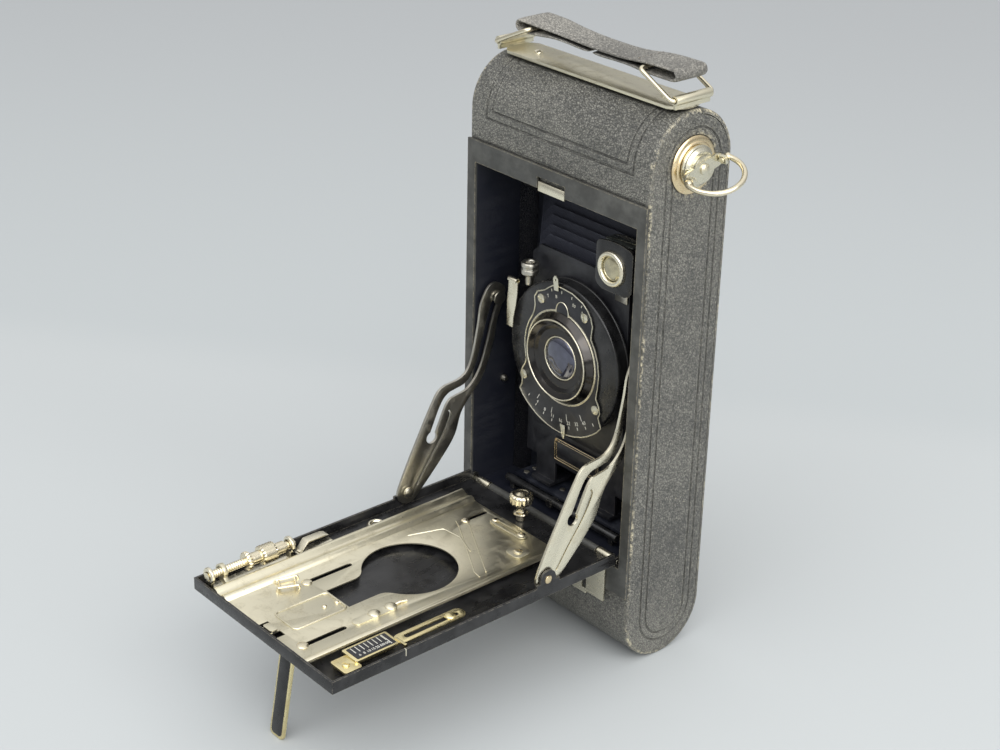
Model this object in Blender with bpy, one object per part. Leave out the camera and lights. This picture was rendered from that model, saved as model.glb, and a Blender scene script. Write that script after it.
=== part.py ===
"""Folding roll-film camera: bed let down, foot out, lens standard pushed back into the body.

Metres, +Z up, the lens looks along -Y. The origin is the middle of the strip the body stands on.
Dimensions below are in millimetres and pass through MM.
"""

import math

import bmesh
import bpy
from mathutils import Matrix, Vector

MM = 0.001

# Body
WIDTH = 90.0
HEIGHT = 208.0
DEPTH = 37.0
END_R = DEPTH / 2
FACETS = 16
SKIN = 1.5
SIDE = 1.8
SEAM_Y = 3.0
GAP = 0.3

# Front frame and its opening
FRAME_Y = -19.8
OPEN_X = 40.8
OPEN_Z = (41.0, 170.4)

# Bed
HINGE = (-19.1, 43.5)
BED_X = 40.0
BED_Y = (-144.4, -21.0)
BED_Z = (42.8, 47.4)
FLOOR_Z = 43.7
WALL = 0.8

# Struts: pivot on the bed, stud on the body
PIVOT = (-52.8, 49.5)
STUD = (-10.0, 116.5)
STRUT_X = (37.9, 38.9)

# Lens
LENS_X = 0.0
LENS_Z = 106.8

# Spools and handle
SPOOL_Z = HEIGHT - END_R
HANDLE_Z = 212.0
HANDLE_X = 43.0

for old in list(bpy.data.objects):
    bpy.data.objects.remove(old, do_unlink=True)

camera = bpy.data.collections.new("folding_camera")
bpy.context.scene.collection.children.link(camera)
tools = bpy.data.collections.new("cutters")
bpy.context.scene.collection.children.link(tools)
tools.hide_render = True


def material(name, colour, metallic, roughness, alpha=1.0):
    made = bpy.data.materials.new(name)
    made.use_nodes = True
    shader = made.node_tree.nodes["Principled BSDF"]
    shader.inputs["Base Color"].default_value = (*colour, 1.0)
    shader.inputs["Metallic"].default_value = metallic
    shader.inputs["Roughness"].default_value = roughness
    shader.inputs["Alpha"].default_value = alpha
    return made


LOOKS = {
    "leather": ((0.045, 0.045, 0.043), 0.0, 0.6),
    "enamel": ((0.012, 0.012, 0.014), 0.0, 0.35),
    "nickel": ((0.62, 0.57, 0.48), 1.0, 0.3),
    "brass": ((0.55, 0.42, 0.2), 1.0, 0.35),
    "cloth": ((0.012, 0.012, 0.013), 0.0, 0.8),
    "glass": ((0.2, 0.25, 0.32), 0.0, 0.05),
    "red": ((0.35, 0.01, 0.01), 0.0, 0.2),
    "wood": ((0.25, 0.16, 0.08), 0.0, 0.6),
}


def mesh_from(points, faces):
    bm = bmesh.new()
    verts = [bm.verts.new([c * MM for c in p]) for p in points]
    for face in faces:
        bm.faces.new([verts[i] for i in face])
    bmesh.ops.recalc_face_normals(bm, faces=bm.faces)
    mesh = bpy.data.meshes.new("shape")
    bm.to_mesh(mesh)
    bm.free()
    return mesh


def put(axis, a, b, t):
    """The point with in-plane coordinates a, b and height t along the axis."""
    return {"X": (t, a, b), "Y": (a, t, b), "Z": (a, b, t)}[axis]


def prism(axis, outline, low, high):
    n = len(outline)
    points = [put(axis, a, b, t) for t in (low, high) for a, b in outline]
    faces = [list(range(n))[::-1], list(range(n, 2 * n))]
    faces += [[i, (i + 1) % n, n + (i + 1) % n, n + i] for i in range(n)]
    return mesh_from(points, faces)


def box(x, y, z):
    outline = [(x[0], y[0]), (x[1], y[0]), (x[1], y[1]), (x[0], y[1])]
    return prism("Z", outline, z[0], z[1])


def circle(centre, radius, sides=16, start=0.0, sweep=360.0):
    count = sides if sweep == 360.0 else sides + 1
    step = math.radians(sweep) / sides
    first = math.radians(start) + (step / 2 if sweep == 360.0 else 0)
    return [
        (
            centre[0] + radius * math.cos(first + i * step),
            centre[1] + radius * math.sin(first + i * step),
        )
        for i in range(count)
    ]


def rod(axis, centre, radius, low, high, sides=16):
    return prism(axis, circle(centre, radius, sides), low, high)


def lathe(axis, centre, profile, sides=24):
    """A closed profile of (radius, height) turned about the axis through centre."""
    points, rings = [], []
    for r, t in profile:
        if r == 0:
            rings.append([len(points)] * sides)
            points.append(put(axis, centre[0], centre[1], t))
        else:
            rings.append(list(range(len(points), len(points) + sides)))
            for i in range(sides):
                angle = 2 * math.pi * (i + 0.5) / sides
                a = centre[0] + r * math.cos(angle)
                b = centre[1] + r * math.sin(angle)
                points.append(put(axis, a, b, t))
    faces = []
    for k, lower in enumerate(rings):
        upper = rings[(k + 1) % len(rings)]
        if profile[k][0] == 0 and profile[(k + 1) % len(rings)][0] == 0:
            continue
        for i in range(sides):
            j = (i + 1) % sides
            face = []
            for corner in (lower[i], lower[j], upper[j], upper[i]):
                if corner not in face:
                    face.append(corner)
            faces.append(face)
    return mesh_from(points, faces)


def wire(path, radius, sides=8):
    """A round wire along a path, with its corners mitred and its ends flat."""
    path = [Vector(p) for p in path]
    steps = [(b - a).normalized() for a, b in zip(path, path[1:])]
    side = steps[0].orthogonal().normalized()
    points = []
    for i, p in enumerate(path):
        before = steps[max(i - 1, 0)]
        after = steps[min(i, len(steps) - 1)]
        along = (before + after).normalized()
        side = (side - along * side.dot(along)).normalized()
        up = along.cross(side)
        mitre = (after - before).normalized() if (after - before).length > 1e-6 else None
        widen = 1 / max(0.3, along.dot(after))
        for k in range(sides):
            angle = 2 * math.pi * (k + 0.5) / sides
            offset = (side * math.cos(angle) + up * math.sin(angle)) * radius
            if mitre:
                offset += mitre * offset.dot(mitre) * (widen - 1)
            points.append(tuple(p + offset))
    faces = [list(range(sides))[::-1]]
    faces.append(list(range(len(points) - sides, len(points))))
    for i in range(len(path) - 1):
        for k in range(sides):
            j = (k + 1) % sides
            a = i * sides
            faces.append([a + k, a + j, a + sides + j, a + sides + k])
    return mesh_from(points, faces)


def turned(mesh, axis, centre, degrees):
    """The same shape turned about an axis through centre."""
    move = Matrix.Translation(Vector(centre) * MM)
    mesh.transform(move @ Matrix.Rotation(math.radians(degrees), 4, axis) @ move.inverted())
    return mesh


def node(name, look, shape, add=(), cut=(), origin=(0, 0, 0)):
    """One piece: a shape with others joined on and cut away, its origin on its joint."""
    shape.name = name
    at = Vector(origin) * MM
    shape.transform(Matrix.Translation(-at))
    obj = bpy.data.objects.new(name, shape)
    obj.location = at
    camera.objects.link(obj)
    colour, metallic, roughness = LOOKS[look]
    alpha = 0.35 if look == "glass" else 1.0
    shape.materials.append(material(name, colour, metallic, roughness, alpha))
    for kind, shapes in (("UNION", add), ("DIFFERENCE", cut)):
        for i, other in enumerate(shapes):
            tool = bpy.data.objects.new(f"{name}_{kind.lower()}_{i}", other)
            tool.display_type = "WIRE"
            tool.hide_render = True
            tools.objects.link(tool)
            boolean = obj.modifiers.new(tool.name, "BOOLEAN")
            boolean.operation = kind
            boolean.solver = "EXACT"
            boolean.object = tool
    return obj


def stadium(inset=0.0):
    """The body's side outline (y, z), its ends faceted so that it has a flat to stand on."""
    r = (END_R - inset) / math.cos(math.pi / FACETS / 2)
    low = circle((0, END_R), r, FACETS * 2)
    outline = sorted(low, key=lambda p: math.atan2(p[1] - END_R, p[0]))
    bottom = [p for p in outline if p[1] < END_R]
    top = [(-a, HEIGHT - b) for a, b in bottom]
    return bottom + top


def clip(outline, limit, keep):
    """The part of an outline on one side of the line y = limit."""
    kept = []
    for p, q in zip(outline, outline[1:] + outline[:1]):
        inside_p = (p[0] < limit) == (keep == "front")
        inside_q = (q[0] < limit) == (keep == "front")
        if inside_p:
            kept.append(p)
        if inside_p != inside_q:
            share = (limit - p[0]) / (q[0] - p[0])
            kept.append((limit, p[1] + share * (q[1] - p[1])))
    return kept


def ribbon(path, half):
    """The outline of a strip of constant width along a path."""
    path = [Vector(p) for p in path]
    left, right = [], []
    for i, p in enumerate(path):
        before = path[i] - path[max(i - 1, 0)]
        after = path[min(i + 1, len(path) - 1)] - path[i]
        along = (before + after).normalized()
        across = Vector((-along.y, along.x)) * half
        left.append(tuple(p + across))
        right.append(tuple(p - across))
    return left + right[::-1]


# Body shell: full side plates, front wall and the front half of both round ends.

def spool_seat(side, z):
    """A boss inside a side plate, with a pin for the end of a spool."""
    ends = sorted((side * (WIDTH / 2 - 1), side * 35.6))
    tip = sorted((side * 36.0, side * 31.0))
    return [rod("X", (0, z), 3.2, *ends), rod("X", (0, z), 1.6, *tip, sides=12)]


half = WIDTH / 2
inner = half - SIDE
node(
    "body_shell",
    "leather",
    prism("X", clip(stadium(), SEAM_Y - GAP / 2, "front"), -half, half),
    add=[prism("X", clip(stadium(SIDE), SEAM_Y - 0.5, "rear"), -half, half)],
    cut=[
        prism("X", clip(stadium(SKIN), SEAM_Y, "front"), -inner, inner),
        box((-inner, inner), (SEAM_Y - 0.5, 30), (-5, HEIGHT + 5)),
        box((-42.1, 42.1), (-25, -10), (39.7, 171.7)),
        rod("X", (0, SPOOL_Z), 3.4, 40, 47, 24),
    ],
)
shell = bpy.data.objects["body_shell"]
for index, piece in enumerate(spool_seat(-1, SPOOL_Z) + spool_seat(-1, END_R) + spool_seat(1, END_R)):
    seat = bpy.data.objects.new(f"body_shell_seat_{index}", piece)
    seat.display_type = "WIRE"
    seat.hide_render = True
    tools.objects.link(seat)
    joined = shell.modifiers.new(seat.name, "BOOLEAN")
    joined.operation = "UNION"
    joined.solver = "EXACT"
    joined.object = seat

# Front frame: flange on the front wall, sleeve lining the opening, bed hinge barrel.

node(
    "front_frame",
    "enamel",
    box((-half, half), (FRAME_Y, FRAME_Y + 1.0), (30.1, 178.6)),
    add=[
        box((-41.8, 41.8), (FRAME_Y + 0.2, 2.0), (40.0, 171.4)),
    ],
    cut=[
        box((-OPEN_X, OPEN_X), (-25, 5), OPEN_Z),
        box((-8.1, 5.8), (-25, -16.8), (168, 174.5)),
    ],
)
frame = bpy.data.objects["front_frame"]
for index, (kind, piece) in enumerate(
    (
        ("UNION", box((-29.4, 29.4), (FRAME_Y + 0.1, -17.6), (40.4, 42.4))),
        ("UNION", rod("X", HINGE, 1.6, -29.4, 29.4)),
        ("DIFFERENCE", rod("X", HINGE, 1.2, -31, 31, 12)),
    )
):
    knuckle = bpy.data.objects.new(f"front_frame_knuckle_{index}", piece)
    knuckle.display_type = "WIRE"
    knuckle.hide_render = True
    tools.objects.link(knuckle)
    joined = frame.modifiers.new(knuckle.name, "BOOLEAN")
    joined.operation = kind
    joined.solver = "EXACT"
    joined.object = knuckle

node(
    "bed_latch",
    "nickel",
    box((-7.8, 5.5), (-19.6, -18.9), (169.4, 172.9)),
    add=[box((-7.8, 5.5), (-19.5, -17.4), (169.4, 170.1))],
    origin=(-1.15, -19.2, 171),
)

# Back cover, with its ruby window, writing door and pressure plate.

node(
    "back_cover",
    "leather",
    prism("X", clip(stadium(), SEAM_Y + GAP / 2, "rear"), -half, half),
    cut=[
        prism("X", stadium(SKIN), -half - 5, half + 5),
        rod("Y", (0, 60), 4.3, 10, 25, 24),
        box((-31.3, 31.3), (10, 25), (27.7, 41.3)),
    ],
)
node("red_window", "red", rod("Y", (0, 60), 4.0, 17.2, 18.2, 24), origin=(0, 17.7, 60))
node(
    "writing_door",
    "leather",
    box((-31, 31), (17.3, 18.4), (28.0, 40.4)),
    add=[rod("X", (17.85, 40.4), 0.55, -31, 31, 12)],
    origin=(0, 17.85, 40.4),
)
node(
    "pressure_plate",
    "enamel",
    box((-33, 33), (15.7, 16.6), (44, 168)),
    cut=[rod("Y", (0, 60), 5.0, 10, 25)],
)

# Film gate, its rollers and the take-up spool.

ROLLERS = {"top": 177.4, "bottom": 30.6}
ears, holes = [], []
for z in ROLLERS.values():
    reach = (173.0, 180.0) if z > 100 else (28.0, 35.0)
    for side in (-1, 1):
        ears.append(box(sorted((side * 36.6, side * 37.8)), (12.2, 15.6), reach))
    holes.append(rod("X", (13.6, z), 1.3, -40, 40, 12))
node(
    "film_gate",
    "enamel",
    box((-42.9, 42.9), (13.0, 14.2), (34, 174)),
    add=ears,
    cut=[box((-32, 32), (10, 18), (51.5, 159.5))] + holes,
)
for place, z in ROLLERS.items():
    profile = [(0, -37.6), (1.0, -37.6), (1.0, -36.2), (2.4, -36.2)]
    profile += [(2.4, 36.2), (1.0, 36.2), (1.0, 37.6), (0, 37.6)]
    shape = lathe("X", (13.6, z), profile, 16)
    node(f"film_roller_{place}", "nickel", shape, origin=(0, 13.6, z))
spool = [(1.95, -35), (13.5, -35), (13.5, -34), (4.5, -34), (4.5, 34), (13.5, 34)]
spool += [(13.5, 35), (1.95, 35), (1.95, 30), (0, 30), (0, -30), (1.95, -30)]
node("take_up_spool", "wood", lathe("X", (0, SPOOL_Z), spool, 24), origin=(0, 0, SPOOL_Z))

# Winding key: flange on the body, collar with a two-eared plate, folding bail.

KEY_TILT = 17.3
KEY_DROOP = 10.6
BAIL_X = 51.9
BAIL_R = 9.84
key_axis = (0, 0, SPOOL_Z)
ring = [(3.4, 45.3), (10.0, 45.3), (10.0, 45.9), (9.4, 46.5), (3.4, 46.5)]
node("key_flange", "nickel", lathe("X", (0, SPOOL_Z), ring, 28))
collar = [(0, 30.6), (1.6, 30.6), (1.6, 35.6), (3.0, 35.6), (3.0, 46.8), (7.3, 46.8)]
collar += [(7.3, 48.6), (6.2, 49.4), (0, 49.4)]
plate = [(-8.5, -1.5), (-7.0, -2.6), (-4.5, -2.8), (-3.2, -4.6), (3.2, -4.6), (4.5, -2.8)]
plate += [(7.0, -2.6), (8.5, -1.5)]
plate += [(-a, -b) for a, b in plate]
plate = prism("X", [(a, SPOOL_Z + b) for a, b in plate], 49.2, 50.8)
lugs = [box((50.4, 53.3), sorted((s * 6.9, s * 8.3)), (SPOOL_Z - 1.5, SPOOL_Z + 1.5)) for s in (-1, 1)]
eye = rod("Y", (BAIL_X, SPOOL_Z), 1.05, -12, 12, 12)
shapes = [turned(m, "X", key_axis, KEY_TILT) for m in [plate] + lugs + [eye]]
node(
    "winding_key",
    "nickel",
    lathe("X", (0, SPOOL_Z), collar, 24),
    add=shapes[:3],
    cut=shapes[3:],
    origin=(50, 0, SPOOL_Z),
)
loop = [(BAIL_X, -6.5), (BAIL_X, -BAIL_R), (BAIL_X + 2.9, -BAIL_R)]
loop += [
    (BAIL_X + 2.9 + BAIL_R * math.cos(a), BAIL_R * math.sin(a))
    for a in [math.radians(-90 + 18 * k) for k in range(1, 10)]
]
loop += [(BAIL_X + 2.9, BAIL_R), (BAIL_X, BAIL_R), (BAIL_X, 6.5)]
bail = wire([(x, t, SPOOL_Z) for x, t in loop], 0.8)
bail = turned(bail, "Y", (BAIL_X, 0, SPOOL_Z), KEY_DROOP)
bail = turned(bail, "X", key_axis, KEY_TILT)
node("key_bail", "nickel", bail, origin=(BAIL_X, 0, SPOOL_Z))

# Carrying handle: plate with two tubes, two bails and the leather strap.

webs, bores = [], []
for side in (-1, 1):
    x = side * HANDLE_X
    webs.append(box((x - 0.9, x + 0.9), (-8.2, 8.2), (209.0, HANDLE_Z)))
    webs.append(rod("Y", (x, HANDLE_Z), 1.6, -8.2, 8.2))
    bores.append(rod("Y", (x, HANDLE_Z), 1.1, -10, 10, 12))
node(
    "handle_plate",
    "nickel",
    box((-43.5, 43.5), (-8, 8), (208.3, 209.5)),
    add=webs,
    cut=bores,
)
BARS = {"left": (-27.0, 219.5), "right": (28.0, 219.5)}
for place, (x, z) in BARS.items():
    pivot = -HANDLE_X if x < 0 else HANDLE_X
    path = [(pivot, -4, HANDLE_Z), (pivot, -9.5, HANDLE_Z), (x, -9.5, z)]
    path += [(a, -b, c) for a, b, c in path[::-1]]
    node(f"handle_bail_{place}", "nickel", wire(path, 0.8), origin=(pivot, 0, HANDLE_Z))
strap = [(-35, 218.4), (-34, 217.2), (-25, 217.3), (-21, 218.2), (-8, 217.9), (6, 217.4)]
strap += [(20, 217.8), (26, 217.2), (41, 217.2), (42, 218.4), (42, 220.6), (41, 221.8)]
strap += [(24, 221.8), (18, 220.4), (6, 219.8), (-8, 220.5), (-20, 221.2), (-26, 221.8)]
strap += [(-34, 221.8), (-35, 220.6)]
node(
    "handle_strap",
    "leather",
    prism("Y", strap, -7.5, 7.5),
    cut=[
        box((-33.5, -24.8), (-9, 9), (218.2, 220.8)),
        box((25.2, 40.6), (-9, 9), (218.2, 220.8)),
        prism("Z", [(-21, -9), (-17, -5.5), (17, -5.5), (21, -9)], 210, 230),
        prism("Z", [(-21, 9), (-17, 5.5), (17, 5.5), (21, 9)], 210, 230),
    ],
    origin=(0, 0, 219.5),
)

# Inside the body: track floor, cross tube, hinge leaf below the bed, strut studs.

node(
    "track_floor",
    "enamel",
    box((-30, 30), (-6.8, 9), (41.3, 45.6)),
    cut=[box((-28.5, 28.5), (-8, 10), (40, 44.4))],
)
node(
    "cross_tube",
    "nickel",
    rod("X", (-10.2, 44.9), 1.5, -30, 30),
    add=[
        box((-28, -26), (-10.9, -9.5), (41.3, 44.5)),
        box((26, 28), (-10.9, -9.5), (41.3, 44.5)),
        box((-6.2, -3.8), (-12.2, -8.2), (43.1, 45.9)),
    ],
)
node(
    "hinge_leaf",
    "nickel",
    box((25, 35), (-20.9, -20.1), (25, 41)),
    add=[box((18, 26), (-20.9, -20.1), (24, 31))],
    cut=[box((23.6, 25.8), (-22, -19), (26.2, 35))],
)
for place, side in (("left", -1), ("right", 1)):
    ends = sorted((side * 39.2, side * 40.5))
    shape = rod("X", STUD, 2.0, *ends)
    node(f"strut_stud_{place}", "nickel", shape, origin=(side * 40, *STUD))

# Bed: tray with strut ears, hinge ears and foot lugs, and the hinge pin.

FOOT = (-131.2, 40.9)
ears, eyes = [], []
for side in (-1, 1):
    wall = sorted((side * (BED_X - WALL), side * BED_X))
    ears.append(prism("X", circle(PIVOT, 3.6), *wall))
    ears.append(box(wall, (PIVOT[0] - 5.2, PIVOT[0] + 5.2), (45, 48.6)))
    ears.append(prism("X", circle(HINGE, 2.1), *wall))
    ears.append(box(wall, (-22.5, HINGE[0]), (42.9, 45.5)))
ears.append(box((-6.5, -5.6), (FOOT[0] - 1.7, FOOT[0] + 1.7), (39.2, 43.2)))
ears.append(box((2.6, 3.5), (FOOT[0] - 1.7, FOOT[0] + 1.7), (39.2, 43.2)))
eyes.append(rod("X", PIVOT, 1.5, -45, 45))
eyes.append(rod("X", HINGE, 1.2, -45, 45, 12))
eyes.append(rod("X", FOOT, 1.1, -10, 10, 12))
tray = node(
    "bed_tray",
    "enamel",
    box((-BED_X, BED_X), BED_Y, BED_Z),
    cut=[box((-BED_X + WALL, BED_X - WALL), (BED_Y[0] + WALL, 0), (FLOOR_Z, 60))],
    origin=(0, *HINGE),
)
for kind, shapes in (("UNION", ears), ("DIFFERENCE", eyes)):
    for index, piece in enumerate(shapes):
        tool = bpy.data.objects.new(f"bed_tray_{kind.lower()}_ear_{index}", piece)
        tool.display_type = "WIRE"
        tool.hide_render = True
        tools.objects.link(tool)
        joined = tray.modifiers.new(tool.name, "BOOLEAN")
        joined.operation = kind
        joined.solver = "EXACT"
        joined.object = tool
pin = [(0, -39.9), (0.9, -39.9), (0.9, -36), (1.6, -36), (1.6, -30), (0.9, -30)]
pin += [(0.9, 30), (1.6, 30), (1.6, 37), (0.9, 37), (0.9, 39.9), (0, 39.9)]
node("bed_hinge_pin", "nickel", lathe("X", HINGE, pin, 16), origin=(0, *HINGE))

# Foot: the leg that props the bed, and its pin.

lean = (-138.3 - FOOT[0]) / FOOT[1]
leg = [(FOOT[0] - 0.7, FOOT[1]), (-138.3 - 0.7, 0), (-138.3 + 0.7, 0), (FOOT[0] + 0.7, FOOT[1])]
node(
    "foot_leg",
    "enamel",
    prism("X", leg, -5.2, 2.2),
    add=[rod("X", FOOT, 1.55, -5.2, 2.2)],
    cut=[rod("X", FOOT, 1.1, -10, 10, 12)],
    origin=(-1.5, *FOOT),
)
node("foot_pin", "nickel", rod("X", FOOT, 0.8, -6.9, 3.9, 12), origin=(-1.5, *FOOT))

# Focusing plate and what drives it.

SCREW = (-34.0, 50.0)
PLATE_Z = (45.5, 46.0)
node(
    "focusing_plate",
    "nickel",
    box((-30, 24.5), (-143.2, -27.8), PLATE_Z),
    add=[
        box((-30, -22), (-143.2, -27.8), (45.6, 48.0)),
        box((22, 24.5), (-143.2, -27.8), (45.6, 46.8)),
        box((-35.6, -29), (-137.8, -135.8), (45.6, 52.2)),
        box((-1.5, 3.5), (-142.5, -139.5), (45.6, 47.2)),
    ],
    cut=[
        box((-28.8, -23.2), (-150, -20), (40, 47.0)),
        rod("Y", SCREW, 1.75, -139, -134, 16),
        rod("Z", (0, -81.6), 17.0, 40, 50, 40),
        box((-6.5, 6.5), (-112.8, -90), (40, 50)),
        box((-3.5, -1.5), (-150, -139), (40, 50)),
        box((3.5, 6.6), (-150, -139), (40, 50)),
        box((-1.5, 3.5), (-150, -142.5), (40, 50)),
        box((-16, -14), (-115.3, -95.8), (40, 50)),
        box((14.6, 16.6), (-138.8, -120.8), (40, 50)),
        box((-6.7, -0.7), (-34.5, -20), (40, 50)),
    ],
)
wheel = [(0, -142.9), (1.4, -142.9), (1.4, -127.4), (3.2, -127.4), (3.2, -125.6), (2.2, -125.6)]
wheel += [(2.2, -121.4), (3.4, -121.4), (3.4, -115.2), (2.2, -115.2), (2.2, -111.4)]
wheel += [(1.4, -111.4), (1.4, -107.0), (0, -107.0)]
node(
    "focusing_wheel",
    "nickel",
    lathe("Y", SCREW, wheel, 20),
    origin=(SCREW[0], -118.3, SCREW[1]),
)
node(
    "screw_bracket",
    "nickel",
    box((-36.6, -31.4), (-142.8, -107.4), (44.0, 44.8)),
    add=[
        box((-36.4, -31.6), (-142.6, -141.2), (44.2, 50)),
        box((-36.4, -31.6), (-109.4, -108.0), (44.2, 50)),
        rod("Y", SCREW, 2.4, -142.6, -141.2),
        rod("Y", SCREW, 2.4, -109.4, -108.0),
    ],
    cut=[rod("Y", SCREW, 1.7, -150, -100)],
)
node(
    "spring_clip",
    "nickel",
    box((-37, -33.4), (-105.2, -89.8), (44.0, 44.6)),
    add=[
        prism(
            "X",
            [(-104.6, 44.3), (-101, 48.4), (-94, 48.4), (-92, 47.8), (-94.2, 47.6), (-100.6, 47.6), (-103.6, 44.3)],
            -37,
            -33.4,
        )
    ],
)
node(
    "scale_plate",
    "brass",
    box((26, 34.5), (-130.8, -112.8), (45.6, 46.4)),
    add=[
        box((27.5, 33), (-129.5, -114), (44.0, 45.8)),
        box((32, 37), (-136.8, -130.6), (45.6, 46.4)),
        box((30.6, 35.6), (-113, -84), (45.6, 46.4)),
        box((33, 37.4), (-113.4, -112.2), (45.6, 46.4)),
    ],
    cut=[box((32.4, 33.8), (-110, -87), (44, 48))],
)
knob = [(0, 44.0), (1.8, 44.0), (1.8, 46.3), (2.9, 46.3), (2.9, 47.2), (1.7, 47.6), (1.7, 50.6)]
knob += [(3.9, 51.2), (4.3, 52.2), (4.3, 54.0), (3.4, 55.2), (1.8, 55.6), (0, 55.6)]
KNOB = (-3.7, -26.8)
node("clamp_knob", "nickel", lathe("Z", KNOB, knob, 24), origin=(*KNOB, 50))

# Struts. Points are (r, w): r along the line from pivot to stud, w towards the front edge.

STRUT_ANGLE = math.atan2(STUD[1] - PIVOT[1], STUD[0] - PIVOT[0])


def on_strut(r, w):
    c, s = math.cos(STRUT_ANGLE), math.sin(STRUT_ANGLE)
    return (PIVOT[0] + r * c - w * s, PIVOT[1] + r * s + w * c)


FRONT_EDGE = [(-0.6, 4.6), (10, 6.0), (18.5, 6.7), (32.5, 7.7), (40.3, 7.0), (46.9, -0.2)]
FRONT_EDGE += [(54, -1.2), (66.7, 3.2), (74.3, 6.6), (80.5, 7.2), (83.6, 5.6)]
REAR_EDGE = [(84.6, 2.4), (83.6, -1.2), (80, -2.8), (72.6, -4.2), (65, -7.2), (57.8, -9.0)]
REAR_EDGE += [(49.9, -10.2), (41.6, -8.6), (34.6, -8.0), (26.2, -10.0), (17, -9.1), (2.2, -5.9)]
REAR_EDGE += [(-2.9, -4.0), (-4.6, -0.4), (-3.6, 2.8)]
SLOT = [(79.8, 2.4), (77.4, 1.0), (70, -0.8), (62.3, -3.2), (52, -5.7), (45, -4.6)]
SLOT += [(41, -0.7), (38.6, 1.6), (34.5, 2.3), (25.3, 1.1), (22.1, 0.6)]
for place, side in (("left", -1), ("right", 1)):
    plane = sorted((side * STRUT_X[0], side * STRUT_X[1]))
    through = sorted((side * 35, side * 42))
    outline = [on_strut(*p) for p in FRONT_EDGE + REAR_EDGE]
    slot = ribbon([on_strut(*p) for p in SLOT], 1.5)
    node(
        f"strut_{place}",
        "nickel",
        prism("X", outline, *plane),
        cut=[
            prism("X", slot, *through),
            rod("X", on_strut(22.1, 0.6), 2.4, *through),
            rod("X", PIVOT, 1.5, *through),
        ],
        origin=(side * 38.4, *PIVOT),
    )
    head = [(0, 36.9), (2.3, 36.9), (2.3, 37.6), (1.2, 37.6), (1.2, 39.8), (0, 39.8)]
    shape = lathe("X", PIVOT, [(r, side * t) for r, t in head], 16)
    node(f"strut_pin_{place}", "nickel", shape, origin=(side * 38.4, *PIVOT))
    shape = rod("X", STUD, 2.7, *sorted((side * 36.9, side * 37.6)))
    node(f"stud_head_{place}", "nickel", shape, origin=(side * 37.2, *STUD))

# Lens standard: U frame on two feet, lens board, name plate.

LENS = (LENS_X, LENS_Z)
upright = [(-27, 56.5), (27, 56.5), (27, 130), (20.5, 130), (20.5, 106.8)]
upright += circle(LENS, 20.5, 12, 360, -180)[1:-1]
upright += [(-20.5, 106.8), (-20.5, 130), (-27, 130)]
node(
    "front_standard",
    "enamel",
    prism("Y", upright, -3.7, -2.5),
    add=[
        box((-21.4, -11), (-3.7, -2.5), (46.9, 57)),
        box((11, 21.4), (-3.7, -2.5), (46.9, 57)),
        box((-21.4, -11), (-6.0, 5.0), (46.9, 48.3)),
        box((11, 21.4), (-6.0, 5.0), (46.9, 48.3)),
    ],
    origin=(0, -3.1, 46.9),
)
board = [(-21, 71), (21, 71), (25, 75), (25, 138), (21, 142), (-21, 142), (-25, 138), (-25, 75)]
node(
    "lens_board",
    "enamel",
    prism("Y", board, -5.3, -4.0),
    cut=[rod("Y", LENS, 10.8, -8, 0, 24)],
    origin=(0, -4.6, LENS_Z),
)
node("name_plate", "enamel", box((-11, 13), (-4.4, -4.0), (58.5, 68)), origin=(0, -4.2, 63))

# Shutter and lenses.

ring = [(11.0, -12.6), (27.4, -12.6), (28.2, -11.8), (28.2, -6.2), (26.5, -5.6), (11.0, -5.6)]
node("shutter_housing", "enamel", lathe("Y", LENS, ring, 40), origin=(LENS_X, -9, LENS_Z))
ring = [(11.0, -13.4), (25.0, -13.4), (25.0, -12.9), (11.0, -12.9)]
node("shutter_faceplate", "enamel", lathe("Y", LENS, ring, 32), origin=(LENS_X, -13, LENS_Z))
ring = [(7.8, -7.0), (7.8, -15.0), (13.0, -16.2), (14.8, -16.2), (15.3, -15.7), (15.3, -13.7)]
ring += [(10.6, -13.7), (10.6, -7.0)]
node("front_lens_cell", "enamel", lathe("Y", LENS, ring, 32), origin=(LENS_X, -14, LENS_Z))
disc = [(0, -15.1), (3.6, -14.8), (7.0, -13.7), (7.5, -13.3), (7.5, -11.4), (0, -11.4)]
node("front_glass", "glass", lathe("Y", LENS, disc, 24), origin=(LENS_X, -13, LENS_Z))
ring = [(6.5, -6.7), (10.4, -6.7), (10.4, 1.0), (9.0, 2.4), (6.5, 2.4)]
node("rear_lens_cell", "enamel", lathe("Y", LENS, ring, 24), origin=(LENS_X, -2, LENS_Z))
disc = [(0, -2.0), (6.2, -2.0), (6.2, 0.2), (5.6, 0.9), (3.0, 1.7), (0, 2.0)]
node("rear_glass", "glass", lathe("Y", LENS, disc, 20), origin=(LENS_X, 0, LENS_Z))


def polar(radius, degrees):
    angle = math.radians(degrees)
    return (LENS_X + radius * math.cos(angle), LENS_Z + radius * math.sin(angle))


def tab(middle, width, near, far):
    """A pointer that stands out from under the faceplate, about the lens axis."""
    corners = [(near, -width), (far, -width / 2), (far, width / 2), (near, width)]
    return prism("Y", [polar(r, middle + d) for r, d in corners], -13.8, -12.95)


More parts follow.
